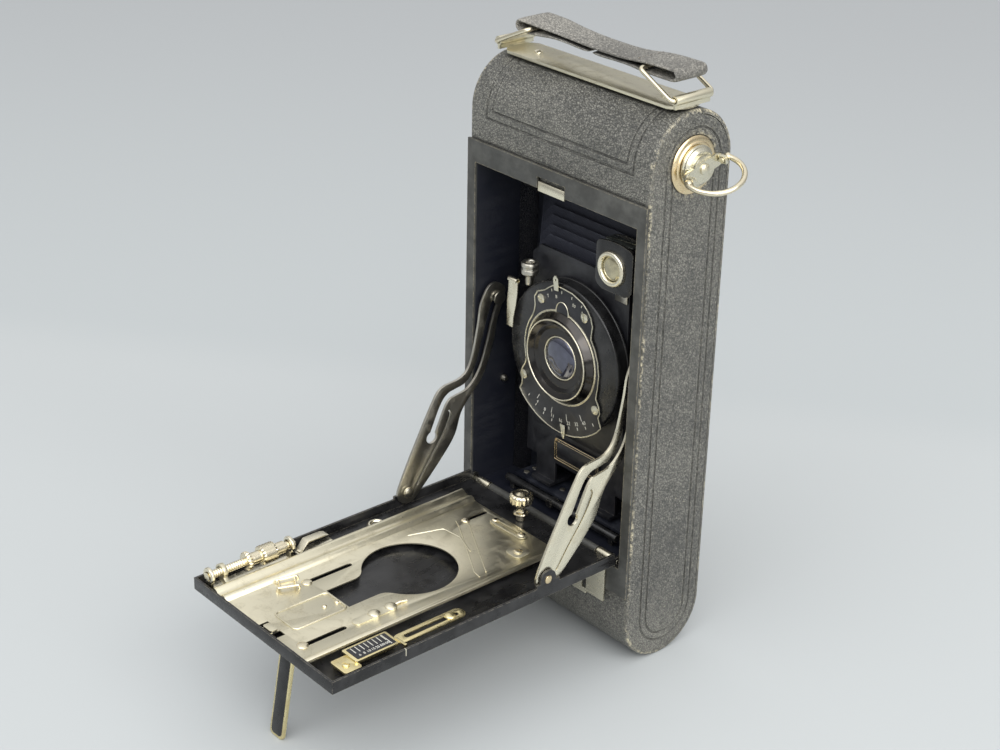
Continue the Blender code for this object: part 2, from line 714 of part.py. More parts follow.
node("aperture_lever", "nickel", tab(-84, 3.0, 25.4, 30.5), origin=(LENS_X, -13.4, LENS_Z))
node("speed_lever", "nickel", tab(97, 3.6, 25.4, 31.0), origin=(LENS_X, -13.4, LENS_Z))
node(
    "release_lever",
    "nickel",
    prism(
        "Y",
        [(-28.9, 109.8), (-25.5, 109.8), (-25.2, 114), (-23.4, 125), (-23.6, 129), (-28.2, 129), (-28.8, 122)],
        -13.8,
        -12.95,
    ),
    add=[box((-28.2, -23.6), (-14.3, -12.95), (127.8, 129.2))],
    origin=(-27.2, -13.4, 111.4),
)
socket = [(0, 127.8), (1.6, 127.8), (1.6, 131.4), (2.8, 131.8), (3.3, 132.4), (3.3, 135.6)]
socket += [(2.6, 136.4), (1.2, 136.4), (1.2, 134.0), (0, 134.0)]
node("cable_socket", "nickel", lathe("Z", (-21, -10.2), socket, 20), origin=(-21, -10.2, 130))

# Reflecting finder on its bracket.

FIND = (25.7, 151.5)
EYE = (24.7, 149.7)
shield = [(16.9, 144.2), (19.8, 141.2), (31.6, 141.2), (34.5, 144.2), (34.5, 158.6), (31.5, 160.9)]
shield += [(25.7, 161.8), (19.9, 160.9), (16.9, 158.6)]
node(
    "finder_body",
    "enamel",
    prism("Y", shield, -14.4, -6.4),
    cut=[rod("Y", EYE, 4.8, -16, -9.5, 24), rod("Y", FIND, 1.8, -8.4, -5, 12)],
    origin=(FIND[0], -10, FIND[1]),
)
ring = [(4.7, -14.7), (4.7, -15.4), (5.8, -15.6), (6.4, -15.2), (6.4, -14.7)]
node("finder_ring", "nickel", lathe("Y", EYE, ring, 28), origin=(EYE[0], -15, EYE[1]))
disc = [(0, -15.2), (3.0, -15.0), (4.3, -14.5), (4.3, -13.6), (0, -13.6)]
node("finder_glass", "glass", lathe("Y", EYE, disc, 20), origin=(EYE[0], -14.4, EYE[1]))
node(
    "finder_bracket",
    "nickel",
    box((18.6, 24.6), (-6.1, -5.6), (134, 148)),
    add=[
        box((18.6, 28.4), (-6.1, -5.6), (146, 154)),
        rod("Y", FIND, 1.45, -8.0, -5.6, 12),
    ],
    origin=(FIND[0], -6, FIND[1]),
)

# Bellows: pleated, closed up between standard and film gate.

PLEATS = 7
BACK = (37.0, 49.0, 164.5)
NOSE = (25.5, 70.0, 143.5)
rings = []
for k in range(2 * PLEATS + 1):
    share = k / (2 * PLEATS)
    out = 0.0 if k % 2 else -2.6
    y = -2.0 + 14.7 * share
    wide, low, high = [a + (b - a) * share for a, b in zip(NOSE, BACK)]
    rings.append((wide + out, low - out, high + out, y))
points, faces = [], []
for inset in (0.0, 0.5):
    for wide, low, high, y in rings:
        w, a, b = wide - inset, low + inset, high - inset
        points += [(-w, y, a), (w, y, a), (w, y, b), (-w, y, b)]
count = len(rings)
for layer in range(2):
    for k in range(count - 1):
        at = 4 * (layer * count + k)
        for c in range(4):
            d = (c + 1) % 4
            faces.append([at + c, at + d, at + 4 + d, at + 4 + c])
for k in (0, count - 1):
    for c in range(4):
        d = (c + 1) % 4
        near, far = 4 * k, 4 * (count + k)
        faces.append([near + c, near + d, far + d, far + c])
node("bellows", "cloth", mesh_from(points, faces), origin=(0, 12.7, LENS_Z))
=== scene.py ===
import math

import bmesh
import bpy
from mathutils import Matrix, Vector


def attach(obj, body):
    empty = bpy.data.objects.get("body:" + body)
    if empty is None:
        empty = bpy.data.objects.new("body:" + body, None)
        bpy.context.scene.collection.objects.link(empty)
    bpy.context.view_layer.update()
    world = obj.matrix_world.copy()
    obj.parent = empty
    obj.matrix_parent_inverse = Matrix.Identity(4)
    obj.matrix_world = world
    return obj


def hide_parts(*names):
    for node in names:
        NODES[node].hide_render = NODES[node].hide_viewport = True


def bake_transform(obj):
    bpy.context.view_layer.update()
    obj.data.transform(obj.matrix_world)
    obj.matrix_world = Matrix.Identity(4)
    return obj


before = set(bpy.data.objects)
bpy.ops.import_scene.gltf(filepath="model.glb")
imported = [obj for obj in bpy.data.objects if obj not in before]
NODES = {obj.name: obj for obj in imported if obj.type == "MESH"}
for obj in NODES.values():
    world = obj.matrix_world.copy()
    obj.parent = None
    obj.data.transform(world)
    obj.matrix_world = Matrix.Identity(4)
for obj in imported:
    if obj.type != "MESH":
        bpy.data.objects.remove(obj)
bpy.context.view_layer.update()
MM = 0.001

# ---------------------------------------------------------------- shape helpers (millimetres)


def mesh_from(points, faces):
    bm = bmesh.new()
    verts = [bm.verts.new([c * MM for c in p]) for p in points]
    for face in faces:
        bm.faces.new([verts[i] for i in face])
    bmesh.ops.recalc_face_normals(bm, faces=bm.faces)
    mesh = bpy.data.meshes.new("shape")
    bm.to_mesh(mesh)
    bm.free()
    return mesh


def put(axis, a, b, t):
    return {"X": (t, a, b), "Y": (a, t, b), "Z": (a, b, t)}[axis]


def prism(axis, outline, low, high):
    n = len(outline)
    points = [put(axis, a, b, t) for t in (low, high) for a, b in outline]
    faces = [list(range(n))[::-1], list(range(n, 2 * n))]
    faces += [[i, (i + 1) % n, n + (i + 1) % n, n + i] for i in range(n)]
    return mesh_from(points, faces)


def box(x, y, z):
    return prism("Z", [(x[0], y[0]), (x[1], y[0]), (x[1], y[1]), (x[0], y[1])], *z)


def arc(centre, radius, start, end, steps):
    out = []
    for i in range(steps + 1):
        a = math.radians(start + (end - start) * i / steps)
        out.append((centre[0] + radius * math.cos(a), centre[1] + radius * math.sin(a)))
    return out


def disc(centre, radius, sides=32):
    return arc(centre, radius, 0, 360 - 360 / sides, sides - 1)


def rounded(x, y, r, steps=5):
    """A rectangle's outline with round corners."""
    out = []
    for cx, cy, a in (
        (x[1] - r, y[0] + r, -90),
        (x[1] - r, y[1] - r, 0),
        (x[0] + r, y[1] - r, 90),
        (x[0] + r, y[0] + r, 180),
    ):
        out += arc((cx, cy), r, a, a + 90, steps)
    return out


def rod(axis, centre, radius, low, high, sides=32):
    return prism(axis, disc(centre, radius, sides), low, high)


def lathe(axis, centre, profile, sides=64, wave=None):
    """A closed profile of (radius, height) turned about an axis. wave(k, angle) scales ring k."""
    points, rings = [], []
    for k, (r, t) in enumerate(profile):
        if r == 0:
            rings.append([len(points)] * sides)
            points.append(put(axis, centre[0], centre[1], t))
            continue
        rings.append(list(range(len(points), len(points) + sides)))
        for i in range(sides):
            angle = 2 * math.pi * i / sides
            s = r * (wave(k, i) if wave else 1.0)
            points.append(
                put(axis, centre[0] + s * math.cos(angle), centre[1] + s * math.sin(angle), t)
            )
    faces = []
    for k, lower in enumerate(rings):
        upper = rings[(k + 1) % len(rings)]
        if profile[k][0] == 0 and profile[(k + 1) % len(rings)][0] == 0:
            continue
        for i in range(sides):
            j = (i + 1) % sides
            face = []
            for corner in (lower[i], lower[j], upper[j], upper[i]):
                if corner not in face:
                    face.append(corner)
            faces.append(face)
    return mesh_from(points, faces)


def wire(path, radius, sides=12, loop=False):
    """A round wire along a path of 3-D points; a loop joins its end to its start."""
    path = [Vector(p) for p in path]
    n = len(path)
    span = n if loop else n - 1
    steps = [(path[(i + 1) % n] - path[i]).normalized() for i in range(span)]
    side = steps[0].orthogonal().normalized()
    points, faces = [], []
    for i, p in enumerate(path):
        before = steps[(i - 1) % span] if loop or i else steps[0]
        after = steps[i % span] if loop or i < span else steps[-1]
        along = (before + after).normalized()
        side = (side - along * side.dot(along)).normalized()
        up = along.cross(side)
        bend = (after - before).normalized() if (after - before).length > 1e-6 else None
        widen = 1 / max(0.3, along.dot(after))
        for k in range(sides):
            angle = 2 * math.pi * (k + 0.5) / sides
            offset = (side * math.cos(angle) + up * math.sin(angle)) * radius
            if bend:
                offset += bend * offset.dot(bend) * (widen - 1)
            points.append(tuple(p + offset))
    if not loop:
        faces = [list(range(sides))[::-1], list(range(len(points) - sides, len(points)))]
    for i in range(span):
        for k in range(sides):
            j = (k + 1) % sides
            a, b = i * sides, ((i + 1) % n) * sides
            faces.append([a + k, a + j, b + j, b + k])
    return mesh_from(points, faces)


def wire_loop(axis, outline, at, radius, sides):
    """A wire round a flat outline, which stands at this place on the axis."""
    return wire([put(axis, a, b, at) for a, b in outline], radius, sides, loop=True)


def bent(path, r, steps=4):
    """A path with its corners rounded to radius r."""
    path = [Vector(p) for p in path]
    out = [path[0]]
    for a, b, c in zip(path, path[1:], path[2:]):
        u, v = (a - b).normalized(), (c - b).normalized()
        half = math.acos(max(-1, min(1, u.dot(v)))) / 2
        cut = min(r / math.tan(half), 0.45 * (a - b).length, 0.45 * (c - b).length)
        start, end = b + u * cut, b + v * cut
        for i in range(steps + 1):
            t = i / steps
            out.append(start * (1 - t) ** 2 + b * 2 * t * (1 - t) + end * t * t)
    out.append(path[-1])
    return out


def turned(mesh, axis, centre, degrees):
    move = Matrix.Translation(Vector(centre) * MM)
    mesh.transform(move @ Matrix.Rotation(math.radians(degrees), 4, axis) @ move.inverted())
    return mesh


def ribbon(path, half):
    path = [Vector(p) for p in path]
    left, right = [], []
    for i, p in enumerate(path):
        before = path[i] - path[max(i - 1, 0)]
        after = path[min(i + 1, len(path) - 1)] - path[i]
        along = (before + after).normalized()
        across = Vector((-along.y, along.x)) * half
        left.append(tuple(p + across))
        right.append(tuple(p - across))
    return left + right[::-1]


def evaluated(obj):
    graph = bpy.context.evaluated_depsgraph_get()
    graph.update()
    return bpy.data.meshes.new_from_object(obj.evaluated_get(graph))


def carve(mesh, add=(), cut=()):
    """The mesh with others joined on and cut away."""
    base = bpy.data.objects.new("base", mesh)
    bpy.context.scene.collection.objects.link(base)
    helpers = [base]
    for kind, shapes in (("UNION", add), ("DIFFERENCE", cut)):
        for shape in shapes:
            tool = bpy.data.objects.new("tool", shape)
            bpy.context.scene.collection.objects.link(tool)
            helpers.append(tool)
            modifier = base.modifiers.new("b", "BOOLEAN")
            modifier.operation = kind
            modifier.solver = "EXACT"
            modifier.object = tool
    bpy.context.view_layer.update()
    result = evaluated(base)
    for helper in helpers:
        bpy.data.objects.remove(helper, do_unlink=True)
    return result


def smooth_by_angle(degrees):
    """Geometry nodes that shade smooth across every edge flatter than this."""
    name = f"smooth_below_{degrees}"
    if name in bpy.data.node_groups:
        return bpy.data.node_groups[name]
    group = bpy.data.node_groups.new(name, "GeometryNodeTree")
    for way in ("INPUT", "OUTPUT"):
        group.interface.new_socket("Geometry", in_out=way, socket_type="NodeSocketGeometry")
    start = group.nodes.new("NodeGroupInput")
    end = group.nodes.new("NodeGroupOutput")
    faces = group.nodes.new("GeometryNodeSetShadeSmooth")
    edges = group.nodes.new("GeometryNodeSetShadeSmooth")
    edges.domain = "EDGE"
    bend = group.nodes.new("GeometryNodeInputMeshEdgeAngle")
    below = group.nodes.new("FunctionNodeCompare")
    below.operation = "LESS_THAN"
    below.inputs[1].default_value = math.radians(degrees)
    link = group.links.new
    link(start.outputs[0], faces.inputs["Geometry"])
    link(faces.outputs[0], edges.inputs["Geometry"])
    link(bend.outputs["Unsigned Angle"], below.inputs[0])
    link(below.outputs[0], edges.inputs["Shade Smooth"])
    link(edges.outputs[0], end.inputs[0])
    return group


def soften(obj, width, angle=35, segments=2):
    """Rounded edges and clean shading."""
    weld = obj.modifiers.new("weld", "WELD")
    weld.merge_threshold = 0.002 * MM
    if width:
        bevel = obj.modifiers.new("edges", "BEVEL")
        bevel.width = width * MM
        bevel.segments = segments
        bevel.limit_method = "ANGLE"
        bevel.angle_limit = math.radians(angle)
        bevel.use_clamp_overlap = True
    smooth = obj.modifiers.new("smooth", "NODES")
    smooth.node_group = smooth_by_angle(40)


def piece(name, mesh, look, body, replaces=(), bevel=0.15, angle=35, segments=2, smooth=True):
    mesh.name = name
    obj = bpy.data.objects.new(name, mesh)
    bpy.context.scene.collection.objects.link(obj)
    mesh.materials.clear()
    mesh.materials.append(look)
    if smooth:
        soften(obj, bevel, angle, segments)
    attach(obj, body)
    if replaces:
        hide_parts(*([replaces] if isinstance(replaces, str) else replaces))
    return obj


def dress(name, look, bevel=0.15, angle=35):
    """A CAD node that keeps its shape, with a finished surface and softened edges."""
    obj = NODES[name]
    if obj.material_slots:
        for slot in obj.material_slots:
            slot.material = look
    else:
        obj.data.materials.append(look)
    soften(obj, bevel, angle)
    return obj


def merged(shapes):
    bm = bmesh.new()
    for shape in shapes:
        bm.from_mesh(shape)
    mesh = bpy.data.meshes.new("shape")
    bm.to_mesh(mesh)
    bm.free()
    return mesh


# The body's side is a stadium: two round ends of this radius, their axes at y = 0.
END_R = 18.5
TOP_Z = 189.5
HALF = 45.0
SEAM = 3.0

# ---------------------------------------------------------------- materials


class Surface:
    """A Principled material and the nodes that feed it. Sizes are in millimetres on the object."""

    def __init__(self, name, **values):
        self.material = bpy.data.materials.new(name)
        self.material.use_nodes = True
        self.tree = self.material.node_tree
        self.shader = self.tree.nodes["Principled BSDF"]
        self.place = self.add("ShaderNodeTexCoord").outputs["Object"]
        for key, value in values.items():
            self.feed(key.replace("_", " ").title().replace("Ior", "IOR"), value)

    def add(self, kind, inputs=None, **settings):
        node = self.tree.nodes.new(kind)
        for key, value in settings.items():
            setattr(node, key, value)
        for key, value in (inputs or {}).items():
            if isinstance(value, bpy.types.NodeSocket):
                self.tree.links.new(value, node.inputs[key])
            else:
                node.inputs[key].default_value = value
        return node

    def feed(self, socket, value):
        if isinstance(value, bpy.types.NodeSocket):
            self.tree.links.new(value, self.shader.inputs[socket])
        elif isinstance(value, tuple):
            self.shader.inputs[socket].default_value = (*value, 1.0)
        else:
            self.shader.inputs[socket].default_value = value

    def stretched(self, x=1.0, y=1.0, z=1.0):
        return self.add("ShaderNodeMapping", {"Vector": self.place, "Scale": (x, y, z)}).outputs[0]

    def noise(self, size, detail=3.0, roughness=0.55, warp=0.0, place=None):
        inputs = {
            "Vector": place or self.place,
            "Scale": 1 / (size * MM),
            "Detail": detail,
            "Roughness": roughness,
            "Distortion": warp,
        }
        return self.add("ShaderNodeTexNoise", inputs).outputs["Fac"]

    def cells(self, size, feature="F1", place=None):
        inputs = {"Vector": place or self.place, "Scale": 1 / (size * MM)}
        return self.add("ShaderNodeTexVoronoi", inputs, feature=feature).outputs["Distance"]

    def span(self, value, low, high, start=0.0, end=1.0):
        """start below low, end above high, and smooth between."""
        inputs = {0: value, 1: low, 2: high, 3: start, 4: end}
        return self.add("ShaderNodeMapRange", inputs, interpolation_type="SMOOTHSTEP").outputs[0]

    def sum(self, operation, a, b=0.0):
        return self.add("ShaderNodeMath", {0: a, 1: b}, operation=operation).outputs[0]

    def length(self, a, b):
        squares = self.sum("ADD", self.sum("MULTIPLY", a, a), self.sum("MULTIPLY", b, b))
        return self.sum("SQRT", squares)

    def mix(self, share, a, b):
        node = self.add("ShaderNodeMix", data_type="RGBA")
        for socket, value in ((node.inputs[0], share), (node.inputs[6], a), (node.inputs[7], b)):
            if isinstance(value, bpy.types.NodeSocket):
                self.tree.links.new(value, socket)
            else:
                socket.default_value = (*value, 1.0) if isinstance(value, tuple) else value
        return node.outputs[2]

    def bump(self, height, depth, below=None, strength=1.0):
        """Relief of this depth in millimetres, on top of another bump's normal."""
        inputs = {"Height": height, "Distance": depth * MM, "Strength": strength}
        if below is not None:
            inputs["Normal"] = below
        return self.add("ShaderNodeBump", inputs).outputs[0]

    def painted_shade_in_hollows(self, reach):
        """1 down in grooves and corners and 0 in the open, from ambient occlusion: a mask for painted shade.
        """
        inputs = {"Distance": reach * MM}
        light = self.add("ShaderNodeAmbientOcclusion", inputs, samples=6).outputs["AO"]
        return self.span(light, 0.5, 0.92, 1.0, 0.0)

    def edges(self, radius):
        """1 along sharp edges and 0 on flat ground, from how far the bevelled normal turns."""
        bevel = self.add("ShaderNodeBevel", {"Radius": radius * MM}, samples=6).outputs[0]
        normal = self.add("ShaderNodeNewGeometry").outputs["Normal"]
        turn = self.add("ShaderNodeVectorMath", {0: bevel, 1: normal}, operation="DOT_PRODUCT")
        return self.span(turn.outputs["Value"], 0.82, 0.99, 1.0, 0.0)


def along_body(look):
    """The place's x and y, its height over the top axis, and its distance from the stadium's spine."""
    x, y, z = look.add("ShaderNodeSeparateXYZ", {0: look.place}).outputs
    low = look.sum("SUBTRACT", END_R * MM, z)
    high = look.sum("SUBTRACT", z, TOP_Z * MM)
    beyond = look.sum("MAXIMUM", look.sum("MAXIMUM", low, high), 0.0)
    return x, y, high, look.length(y, beyond)


def lining(look):
    """1 on the faces inside the body, which are painted black."""
    x, _, _, reach = along_body(look)
    within = look.span(look.sum("ABSOLUTE", x), (HALF - 1.3) * MM, (HALF - 1.2) * MM, 1.0, 0.0)
    return look.sum("MULTIPLY", within, look.span(reach, (END_R - 1.1) * MM, (END_R - 1.0) * MM, 1.0, 0.0))


def worn_places(look):
    """1 along the rims of the body's two sides and round the key's base, from the body's own shape."""
    x, y, high, reach = along_body(look)
    side = look.span(look.sum("ABSOLUTE", x), (HALF - 1.6) * MM, (HALF - 0.5) * MM)
    rim = look.sum("MULTIPLY", side, look.span(reach, (END_R - 1.6) * MM, (END_R - 0.4) * MM))
    around = look.span(look.length(y, high), 10.4 * MM, 12.6 * MM, 0.7, 0.0)
    key = look.sum("MULTIPLY", around, look.span(x, (HALF - 0.6) * MM, (HALF - 0.2) * MM))
    return look.sum("MAXIMUM", rim, key)


def leather(name, dark, light, speck, grain=0.75, shaped=False):
    """Grained leather. On the body, rims and the ground round the key are pale, and the inside is black."""
    look = Surface(name)
    pebbles = look.span(look.cells(grain, "DISTANCE_TO_EDGE"), 0.0, 0.2)
    wrinkle = look.noise(grain * 0.8, 4, 0.6, 1.0)
    mottle = look.noise(grain * 1.1, 3, 0.7)
    height = look.sum("ADD", pebbles, wrinkle)
    fade = look.noise(30, 3, 0.55)
    share = look.sum("ADD", look.sum("MULTIPLY", mottle, 0.7), look.sum("MULTIPLY", fade, 0.3))
    tone = look.mix(look.span(share, 0.38, 0.62), dark, light)
    # The low gaps between the grain's pebbles are painted darker: painted shade in the grain's hollows.
    painted_shade_in_gaps = look.span(pebbles, 0.0, 1.0, 0.75 if shaped else 0.5, 0.0)
    tone = look.mix(painted_shade_in_gaps, tone, tuple(c * 0.4 for c in dark))
    # Sharp creases, the pressed lines' edges among them, are painted paler: a painted highlight.
    crease_highlight = look.sum("MULTIPLY", look.edges(0.35), 0.4)
    tone = look.mix(crease_highlight, tone, tuple(min(1, c * 2.2) for c in light))
    # Grooves, corners and contact places are painted darker from ambient occlusion: painted shade.
    tone = look.mix(look.painted_shade_in_hollows(1.6), tone, tuple(c * 0.25 for c in dark))
    dots = look.span(look.noise(1.3, 2, 0.5), 0.7, 0.76, 0.0, 0.5)
    spots = look.sum("MULTIPLY", dots, look.span(look.noise(24, 2, 0.5), 0.5, 0.62))
    rubbed = look.sum("MULTIPLY", look.edges(0.8), 0.8)
    if shaped:
        rubbed = worn_places(look)
    rubbed = look.sum("MULTIPLY", rubbed, look.span(look.noise(1.5, 5, 0.75), 0.46, 0.6))
    rubbed = look.sum("MULTIPLY", rubbed, look.span(look.noise(16, 2, 0.5), 0.4, 0.6, 0.2, 1.0))
    tone = look.mix(look.sum("MAXIMUM", rubbed, spots), tone, speck)
    if shaped:
        tone = look.mix(lining(look), tone, (0.007, 0.008, 0.014))
    look.feed("Base Color", tone)
    look.feed("Roughness", look.span(mottle, 0.3, 0.7, 0.36, 0.52))
    look.feed("Normal", look.bump(height, 0.16))
    look.feed("Specular IOR Level", 0.9)
    return look.material


def enamel(name, base, worn, gloss=(0.28, 0.45), wear=0.7, radius=0.35, dust=0.25, grain=0.0, lined=False):
    """Black lacquer: faint orange peel, dust, scratches and edges rubbed to metal."""
    look = Surface(name)
    patch = look.noise(9, 4, 0.65)
    scratches = look.noise(2.5, 3, 0.6, 0, look.stretched(1.0, 0.09, 1.0))
    edge_wear_and_highlight = look.sum("MULTIPLY", look.edges(radius), look.span(look.noise(1.6, 5, 0.7), 0.38, 0.6, 0.0, wear))
    specks = look.span(look.noise(0.55, 1, 0.5), 0.76, 0.8, 0.0, dust)
    pale = tuple(min(1.0, c * 3.0 + 0.03) for c in base)
    tone = look.mix(look.span(patch, 0.35, 0.75, 0.0, 0.45), base, pale)
    tone = look.mix(specks, tone, (0.28, 0.27, 0.25))
    if lined:  # the front frame's sleeve, behind its flange, is blacker
        y = look.add("ShaderNodeSeparateXYZ", {0: look.place}).outputs["Y"]
        behind = look.span(y, -19.0 * MM, -18.7 * MM)
        tone = look.mix(behind, tone, (0.0066, 0.008, 0.0145))
        edge_wear_and_highlight = look.sum("MULTIPLY", edge_wear_and_highlight, look.span(behind, 0.0, 1.0, 1.0, 0.0))
    look.feed("Base Color", look.mix(edge_wear_and_highlight, tone, worn))
    look.feed("Metallic", look.sum("MULTIPLY", edge_wear_and_highlight, 0.75))
    look.feed("Roughness", look.span(look.sum("ADD", patch, scratches), 0.7, 1.3, *gloss))
    peel = look.bump(look.noise(1.4, 2, 0.5), 0.01)
    if grain:
        peel = look.bump(look.noise(0.6, 4, 0.65), grain, peel)
    look.feed("Normal", peel)
    return look.material


def metal(name, bright, stain, rough=(0.22, 0.4), spots=0.35, brushed=None, grime=0.5):
    """Old plating: clouded stains, fine scratches, dark specks of dirt."""
    look = Surface(name, metallic=1.0)
    cloud = look.noise(7, 5, 0.65, 0.6)
    fine = look.noise(0.8, 4, 0.6)
    hair = look.noise(1.2, 3, 0.7, 0, look.stretched(*(brushed or (0.08, 1.0, 1.0))))
    share = look.sum("MULTIPLY", look.span(cloud, 0.45, 0.78), look.span(fine, 0.3, 0.7, 0.4, 1.0))
    tone = look.mix(look.sum("MULTIPLY", share, spots), bright, stain)
    # Edges are painted a little brighter: a painted highlight.
    edge_highlight = look.edges(0.4)
    tone = look.mix(look.sum("MULTIPLY", edge_highlight, 0.25), tone, tuple(min(1.0, c * 1.15) for c in bright))
    pits = look.span(look.noise(0.9, 2, 0.5), 0.7, 0.78, 0.0, grime)
    look.feed("Base Color", look.mix(pits, tone, tuple(c * 0.35 for c in stain)))
    look.feed("Roughness", look.span(look.sum("ADD", hair, share), 0.4, 1.1, *rough))
    look.feed("Normal", look.bump(hair, 0.006, look.bump(fine, 0.006)))
    return look.material


def bellows_cloth():
    look = Surface("bellows_cloth", roughness=0.72)
    weave = look.add(
        "ShaderNodeTexWave",
        {"Vector": look.place, "Scale": 1 / (0.5 * MM) / 6.28, "Distortion": 1.5, "Detail": 2},
        bands_direction="DIAGONAL",
    ).outputs["Fac"]
    # The pleats' fold edges are painted paler in noisy patches: a painted highlight.
    edge_wear_and_highlight = look.sum("MULTIPLY", look.edges(0.5), look.span(look.noise(3, 4, 0.6), 0.35, 0.65))
    tone = look.mix(look.noise(6, 4, 0.6), (0.006, 0.007, 0.014), (0.018, 0.02, 0.033))
    look.feed("Base Color", look.mix(look.sum("MULTIPLY", edge_wear_and_highlight, 0.5), tone, (0.07, 0.075, 0.095)))
    look.feed("Normal", look.bump(weave, 0.03, look.bump(look.noise(1.5, 3, 0.6), 0.05)))
    return look.material


def coated_glass(name, tint, ior=1.6):
    """A dark lens with the pale blue bloom of its reflections."""
    look = Surface(name, ior=ior, roughness=0.03, coat_weight=1.0, coat_roughness=0.02)
    smear = look.noise(3, 4, 0.6)
    look.feed("Base Color", look.mix(look.span(smear, 0.3, 0.75), tint, tuple(c * 1.8 for c in tint)))
    look.feed("Metallic", 0.75)
    look.feed("Roughness", look.span(smear, 0.45, 0.75, 0.03, 0.14))
    return look.material


def ruby():
    look = Surface("ruby_film", roughness=0.15, ior=1.5, coat_weight=0.5)
    look.feed("Base Color", look.mix(look.noise(2, 4, 0.6), (0.16, 0.004, 0.004), (0.33, 0.012, 0.01)))
    look.feed("Normal", look.bump(look.noise(1.2, 2, 0.5), 0.02))
    return look.material


def turned_wood():
    look = Surface("turned_wood", roughness=0.55)
    rings = look.noise(2.2, 5, 0.6, 1.0, look.stretched(0.12, 1.0, 1.0))
    look.feed("Base Color", look.mix(rings, (0.16, 0.085, 0.035), (0.42, 0.26, 0.13)))
    look.feed("Normal", look.bump(rings, 0.04))
    look.feed("Roughness", look.span(rings, 0.3, 0.7, 0.45, 0.7))
    return look.material


LEATHER = leather("body_leather", (0.05, 0.0495, 0.043), (0.24, 0.234, 0.2), (0.6, 0.54, 0.38), 0.9, True)
STRAP = leather("strap_leather", (0.125, 0.119, 0.105), (0.36, 0.343, 0.3), (0.38, 0.3, 0.2), 1.0)
FLANGE = enamel(
    "flange_enamel", (0.042, 0.042, 0.038), (0.45, 0.4, 0.28), (0.42, 0.6), 0.95, 0.6, 0.3, 0.03, True
)
BLACK = enamel("black_enamel", (0.0065, 0.0065, 0.007), (0.36, 0.33, 0.26), (0.2, 0.4), 0.8, 0.4, 0.3)
SATIN = enamel("satin_black", (0.006, 0.0063, 0.0085), (0.3, 0.28, 0.24), (0.28, 0.45), 0.35, 0.25, 0.12)
INSIDE = enamel("inside_black", (0.006, 0.0075, 0.013), (0.1, 0.1, 0.1), (0.4, 0.6), 0.3, 0.3, 0.35)
NICKEL = metal("nickel", (0.84, 0.79, 0.63), (0.45, 0.36, 0.22), (0.24, 0.4), 0.4)
PLATE = metal("satin_nickel_plate", (0.79, 0.74, 0.57), (0.33, 0.29, 0.2), (0.32, 0.5), 0.6, (1.0, 0.06, 1.0))
POLISHED = metal("polished_nickel", (0.82, 0.75, 0.57), (0.5, 0.38, 0.22), (0.2, 0.34), 0.3, None, 0.25)
STEEL = metal("dull_steel", (0.52, 0.5, 0.44), (0.17, 0.14, 0.1), (0.3, 0.5), 0.75)
CREAM = metal("cream_nickel", (0.7, 0.67, 0.54), (0.46, 0.37, 0.22), (0.26, 0.42), 0.4, None, 0.3)
GOLD = metal("brassy_nickel", (0.8, 0.66, 0.42), (0.48, 0.32, 0.15), (0.22, 0.38), 0.55)
BRASS = metal("brass", (0.87, 0.76, 0.43), (0.45, 0.32, 0.13), (0.26, 0.42), 0.5)
CLOTH = bellows_cloth()
GLASS = coated_glass("lens_glass", (0.055, 0.058, 0.085))
SMOKE = coated_glass("finder_lens", (0.3, 0.27, 0.17))
GREY_GLASS = coated_glass("ground_glass", (0.12, 0.13, 0.12))
RUBY = ruby()
WOOD = turned_wood()
INK = enamel("white_ink", (0.42, 0.41, 0.33), (0.5, 0.45, 0.3), (0.4, 0.6), 0.3, 0.1, 0.0)
LENS_BLACK = metal("lens_black", (0.06, 0.057, 0.055), (0.13, 0.105, 0.08), (0.14, 0.26), 0.5, None, 0.1)

# ---------------------------------------------------------------- CAD pieces that keep their shape

for names, look, width in (
    (("front_frame",), FLANGE, 0.3),
    (("bed_tray",), BLACK, 0.3),
    (("bed_latch", "hinge_leaf", "spring_clip", "screw_bracket"), NICKEL, 0.18),
    (("film_gate", "pressure_plate", "track_floor"), INSIDE, 0.2),
    (("cross_tube",), BLACK, 0.15),
    (("strut_stud_left", "strut_stud_right"), STEEL, 0.15),
    (("writing_door",), FLANGE, 0.25),
    (("red_window",), RUBY, 0.2),
    (("film_roller_top", "film_roller_bottom"), POLISHED, 0.12),
    (("take_up_spool",), WOOD, 0.2),
    (("bed_hinge_pin", "foot_pin", "strut_pin_left", "strut_pin_right"), NICKEL, 0.15),
    (("stud_head_left", "stud_head_right", "finder_bracket"), STEEL, 0.15),
    (("front_standard", "lens_board", "shutter_housing", "rear_lens_cell"), SATIN, 0.25),
    (("front_glass", "rear_glass"), GLASS, 0.0),
    (("name_plate",), SATIN, 0.08),
    (("release_lever",), NICKEL, 0.15),
    (("cable_socket",), STEEL, 0.12),
    (("body_shell", "back_cover"), LEATHER, 0.3),
    (("handle_plate", "handle_bail_left", "handle_bail_right"), NICKEL, 0.2),
    (("handle_strap",), STRAP, 0.3),
    (("key_flange", "winding_key", "key_bail"), GOLD, 0.15),
    (("foot_leg",), BLACK, 0.2),
    (("focusing_plate",), PLATE, 0.15),
    (("focusing_wheel", "clamp_knob"), POLISHED, 0.1),
    (("scale_plate",), BRASS, 0.15),
    (("strut_left", "strut_right"), NICKEL, 0.25),
    (("shutter_faceplate", "front_lens_cell"), SATIN, 0.1),
    (("aperture_lever", "speed_lever"), NICKEL, 0.1),
    (("finder_body",), BLACK, 0.2),
    (("finder_ring",), NICKEL, 0.1),
    (("finder_glass",), SMOKE, 0.0),
    (("bellows",), CLOTH, 0.0),
):
    for name in names:
        dress(name, look, width)

# ---------------------------------------------------------------- body: leather-covered shell and back


